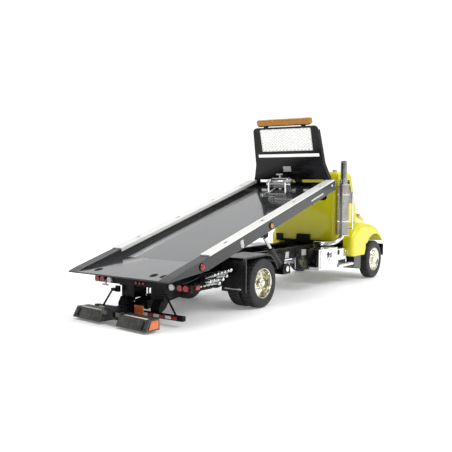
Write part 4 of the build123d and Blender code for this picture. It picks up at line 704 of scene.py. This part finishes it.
def tail_slot_rims():
    """Oval rims on the tail, which slopes differently from the bed."""
    slope = radians(-6.36)
    along = BED_ALONG * cos(slope) + BED_UP * sin(slope)
    up = BED_UP * cos(slope) - BED_ALONG * sin(slope)
    points = 28
    angles = [2 * pi * i / points for i in range(points)]
    # Half length, half width, height
    section = ((2.75, 2.0, -0.05), (2.75, 2.0, 0.14), (2.55, 1.3, 0.14), (2.55, 1.3, -0.05))
    shape = bmesh.new()
    for y in (20.0, 27.0, -20.0, -27.0):
        frame = axes_frame(bed_pt(7.6, y, -1.15), along, ACROSS, up)
        rings = [[shape.verts.new(frame @ Vector((length * cos(a), width * sin(a), height)))
                  for a in angles] for length, width, height in section]
        skin(shape, rings, closed=True)
    add("tail_slot_rims", shape, "deck", slot="chassis_black")


def valve_handles():
    shape = bmesh.new()
    # Levers with ball knobs: knob x, z, radius
    for x, z, radius in ((-29.0, 25.4, 1.15), (-36.4, 21.2, 1.2),
                         (-39.8, 19.3, 1.2), (-32.6, 22.6, 1.0)):
        lever = [truck_pt(x - 3.4, -24.8, z - 1.0), truck_pt(x - 1.6, -28.0, z - 0.5),
                 truck_pt(x, -31.0, z)]
        tube(shape, smooth_path(lever), 0.5)
        latitudes = [radians(degrees) for degrees in (-60, -30, 0, 30, 60)]
        ball = [(radius * cos(a), radius * sin(a)) for a in latitudes]
        lathe(shape, [(0, -radius)] + ball + [(0, radius)], truck_frame(x, -31.3, z), 20)
    cap = [(1.15, 0), (1.25, 0.3), (1.25, 3.2), (0.9, 3.7), (0.6, 3.8)]
    for x in (-44.6, -41.0, -37.4):
        lathe(shape, cap, facing(truck_pt(x, -25.6, 20.6), (0, -1, 0)), 24)
    add("valve_handles", shape, "chassis", slot="chrome")


def chassis_plates():
    shape = bmesh.new()
    for size, place, bevel in (((6.6, 0.2, 4.4), (63.5, -14.9, 25.5), 0.08),
                               ((0.2, 5.3, 1.1), (-70.3, 26.65, 16.95), 0.05),
                               ((0.5, 1.2, 2.4), (-70.0, 26.65, 18.0), 0.05)):
        box(shape, size, truck_frame(*place), bevel)
    add("chassis_blank_plates", shape, "chassis", material="pale_plate")


# ------------------------------------------------------------------
# Deck lamps, winch rope, hoses
# ------------------------------------------------------------------
def marker_lamps():
    """Bezels on all four side lamps, red caps on the rear pair."""
    bezel = [(1.75, 0), (2.25, 0), (2.3, 0.3), (2.1, 0.5), (1.75, 0.45)]
    cap = [(1.85, 0.1), (1.85, 0.55), (1.5, 0.85), (0.9, 1.02), (0, 1.08)]
    rear, front = (27.9, -3.3), (100.3, -4.1)     # along the bed, height
    bezels, caps = bmesh.new(), bmesh.new()
    for side in SIDES:
        for lamp in (rear, front):
            along, height = lamp
            frame = axes_frame(bed_pt(along, side * 35.9, height),
                               BED_ALONG, BED_UP * -side, (0, side, 0))
            lathe(bezels, bezel, frame, closed=True)
            if lamp == rear:
                lathe(caps, cap, frame)
    add("marker_lamp_bezels", bezels, "deck", slot="chassis_black")
    add("rear_marker_lenses", caps, "deck", slot="red_lens")


def winch_rope():
    turns, steps = 13, 24
    coil_radius, coil_width = 2.88, 9.6
    path = []
    for i in range(turns * steps + 1):
        angle = 2 * pi * i / steps
        y = -coil_width / 2 + coil_width * i / (turns * steps)
        path.append(bed_pt(176.5, y, 1.2) + BED_ALONG * (coil_radius * cos(angle))
                    + BED_UP * (coil_radius * sin(angle)))
    shape = bmesh.new()
    tube(shape, path, 0.36, 8)
    add("winch_rope", shape, "winch_drum", slot="bright_steel")


def hoses():
    """Hoses under the valve bank and at the underlift cylinder, and their fittings."""
    bank_xs = [-44.0 + 3.6 * k for k in range(5)]
    shape = bmesh.new()
    for k, x in enumerate(bank_xs):
        route = [truck_pt(x, -21.4, 17.8), truck_pt(x - 0.6, -21.2, 15.6),
                 truck_pt(x - 3.2, -18.6, 13.9 + 0.2 * k),
                 truck_pt(x - 6.4, -16.2, 15.2 + 0.5 * k),
                 truck_pt(x - 7.8, -14.9, 16.6 + 0.5 * k)]
        tube(shape, smooth_path(route), 0.48)
    cylinder_route = ((-57.5, 5.0, 21.6), (-60.0, 5.6, 23.4), (-62.6, 4.4, 23.8),
                      (-64.0, 2.6, 22.9), (-64.1, 1.5, 22.4))
    for side in SIDES:
        route = [truck_pt(x, side * y, z) for x, y, z in cylinder_route]
        tube(shape, smooth_path(route), 0.42)
    feed = ((-47.0, -24.0, 23.6), (-50.5, -22.5, 22.0), (-53.5, -18.5, 20.0),
            (-56.5, -15.2, 19.0))
    tube(shape, smooth_path([truck_pt(*place) for place in feed]), 0.42)
    add("hydraulic_hoses", shape, "chassis", material="hose_rubber")

    shape = bmesh.new()
    for x in bank_xs:
        lathe(shape, [(0.8, 0), (0.95, 0.25), (0.95, 0.9), (0.75, 1.1)],
              truck_frame(x, -21.4, 16.4), 6)
    for side in SIDES:
        lathe(shape, [(0.7, 0), (0.8, 0.2), (0.8, 0.9), (0.6, 1.0)],
              facing(truck_pt(-64.1, side * 1.4, 22.4), (0, side, 0)), 6)
    add("hose_fittings", shape, "chassis", slot="bright_steel")


# ------------------------------------------------------------------
# Bolts, handles, cab header
# ------------------------------------------------------------------
def bolts():
    shape = bmesh.new()
    for side in SIDES:
        hex_bolt(shape, facing(bed_pt(186.0, side * 35.85, -2.4), (0, side, 0)), 0.75, 0.6)
    add("deck_bolts", shape, "deck", slot="bright_steel")
    shape = bmesh.new()
    for side in SIDES:
        for x in (26.0, 40.0, 56.0, 72.0):
            for z in (18.0, 26.5):
                hex_bolt(shape, facing(truck_pt(x, side * 14.8, z), (0, side, 0)), 0.5, 0.4)
    add("frame_bolts", shape, "chassis", slot="chassis_black")


def door_handles():
    grip = ((119.4, 27.0, 51.4), (119.8, 28.0, 51.6), (122.0, 28.25, 51.7),
            (124.2, 28.0, 51.6), (124.6, 27.0, 51.4))
    shape = bmesh.new()
    for side in SIDES:
        tube(shape, smooth_path([truck_pt(x, side * y, z) for x, y, z in grip]), 0.38)
        box(shape, (6.4, 0.3, 1.9), truck_frame(122.0, side * 27.2, 51.5), 0.12)
    add("door_handles", shape, "chassis", slot="chrome")


def rear_window_header():
    shape = bmesh.new()
    box(shape, (0.5, 44.0, 4.0), truck_frame(114.65, 0, 77.7), 0.2)
    add("rear_window_header", shape, "chassis", slot="yellow_paint")


def latches():
    """Round cups with a ring and a slanting bar, two on each side."""
    cup = [(1.7, 0), (1.7, 0.12), (1.5, 0.2), (0, 0.22)]
    rim = [(1.65, 0), (2.0, 0), (2.05, 0.2), (1.9, 0.36), (1.65, 0.3)]
    bar = ((-1.1, 0.2, -0.5), (0, 0.5, 0.1), (1.1, 0.2, 0.6))      # from the cup's middle
    handles, cups = bmesh.new(), bmesh.new()
    for side in SIDES:
        for x, y, z in ((90.5, 35.4, 24.8), (117.5, 34.6, 24.0)):
            frame = facing(truck_pt(x, side * (y - 0.05), z), (0, side, 0))
            lathe(cups, cup, frame, 28)
            lathe(handles, rim, frame, 28, closed=True)
            path = [truck_pt(x + dx, side * (y + dy), z + dz) for dx, dy, dz in bar]
            tube(handles, smooth_path(path), 0.3, 8)
    add("latch_handles", handles, "chassis", slot="chrome")
    add("latch_cups", cups, "chassis", slot="chassis_black")


# ------------------------------------------------------------------
# Camera, floor, world, lights (in metres)
# ------------------------------------------------------------------
def set_camera(scene):
    """Looks forward and to the left from behind the truck's right side."""
    data = bpy.data.cameras.new("camera")
    data.sensor_fit = "HORIZONTAL"
    data.sensor_width = 36.0
    data.lens = 53.9235398
    data.clip_start = 0.005
    data.clip_end = 60
    camera = bpy.data.objects.new("camera", data)
    scene.collection.objects.link(camera)
    yaw, pitch, roll = radians(35.04), radians(-3.55), radians(0.36)
    view = Vector((cos(pitch) * cos(yaw), cos(pitch) * sin(yaw), sin(pitch)))
    right = view.cross(Vector((0, 0, 1))).normalized()
    up = right.cross(view)
    camera.matrix_world = axes_frame(truck_pt(-344.87, -249.69, 74.56) * MM,
                                     right * cos(roll) + up * sin(roll),
                                     -right * sin(roll) + up * cos(roll), -view)
    scene.camera = camera


def white_floor(scene):
    """White floor that glows more with distance, to fade into the background."""
    half = 9
    shape = bmesh.new()
    for x, y in ((-half, -half), (half, -half), (half, half), (-half, half)):
        shape.verts.new((x, y, 0))
    shape.faces.new(shape.verts)
    mesh = bpy.data.meshes.new("floor")
    shape.to_mesh(mesh)
    shape.free()
    floor = bpy.data.objects.new("floor", mesh)

    white = bpy.data.materials.new("floor_white")
    graph = Graph(white)
    mottle = graph.node("TexNoise", {"Scale": 3.0}).outputs["Fac"]
    colour = graph.mix(mottle, (0.93, 0.93, 0.93, 1), (0.95, 0.95, 0.95, 1))
    position = graph.node("TexCoord").outputs["Object"]
    distance = graph.node("VectorMath", {0: position}, operation="LENGTH").outputs["Value"]
    glow = graph.rescale(distance, span=(0.25, 1.3), to=(0.17, 0.9))
    graph.fill(graph.tree.nodes["Principled BSDF"], {
        "Roughness": 0.85, "Specular IOR Level": 0.15, "Base Color": colour,
        "Emission Color": (1, 1, 1, 1), "Emission Strength": glow})
    mesh.materials.append(white)
    scene.collection.objects.link(floor)


def studio_world(scene):
    """Soft sky, dimmer towards the rear; the camera sees plain white."""
    world = bpy.data.worlds.new("studio")
    scene.world = world
    graph = Graph(world)
    direction = graph.node("TexCoord").outputs["Generated"]
    parts = graph.node("SeparateXYZ", {0: direction}).outputs
    sky = graph.node("ValToRGB", {0: parts["Z"]})
    horizon, overhead = sky.color_ramp.elements
    horizon.position = 0.0
    horizon.color = (0.55, 0.55, 0.56, 1)
    overhead.position = 0.45
    overhead.color = (1.0, 1.0, 1.0, 1)
    sky.color_ramp.elements.new(0.16).color = (0.86, 0.86, 0.87, 1)
    dimming = graph.rescale(parts["X"], span=(-0.85, 0.15), to=(0.32, 1.0))
    dimmed = graph.node("VectorMath", {0: sky.outputs["Color"], "Scale": dimming},
                        operation="SCALE").outputs["Vector"]
    seen = graph.node("LightPath").outputs["Is Camera Ray"]
    graph.fill(graph.tree.nodes["Background"], {
        "Color": graph.mix(seen, dimmed, (1.5, 1.5, 1.5, 1)), "Strength": 0.74})


def area_light(name, place, target, size, power, glossy=True):
    data = bpy.data.lights.new(name, "AREA")
    data.shape = "RECTANGLE"
    data.size, data.size_y = size
    data.energy = power
    light = bpy.data.objects.new(name, data)
    light.location = place
    aim = Vector(target) - Vector(place)
    light.rotation_euler = aim.to_track_quat("-Z", "Y").to_euler()
    light.visible_glossy = glossy
    bpy.context.scene.collection.objects.link(light)


# ------------------------------------------------------------------
# Build
# ------------------------------------------------------------------
rub_deck_floor()
paint_cad_pieces()
tyres()
shield = perforated_shield()
shield_bands()
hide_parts("exhaust_shield")
cradle_trim("left", 1)
cradle_trim("right", -1)
boom_reflector()
underride_tape()
mud_flap_strips()
deck_tags()
tie_ring()
rail_strips()
tail_slot_rims()
valve_handles()
chassis_plates()
marker_lamps()
winch_rope()
hoses()
bolts()
door_handles()
rear_window_header()
latches()

scene = bpy.context.scene
set_camera(scene)
white_floor(scene)
studio_world(scene)
area_light("key", place=(0.25, -0.95, 0.95), target=(0.0, 0, 0.04), size=(0.7, 0.5), power=7.5)
area_light("top", place=(-0.1, 0.2, 1.3), target=(0.0, 0, 0.0), size=(1.2, 0.9), power=8.5,
           glossy=False)
area_light("rim", place=(0.9, 0.6, 0.6), target=(0.05, 0, 0.05), size=(0.5, 0.5), power=3.0,
           glossy=False)

scene.view_settings.view_transform = "Standard"
scene.view_settings.look = "None"
scene.view_settings.exposure = 0.0
scene.view_settings.gamma = 1.0
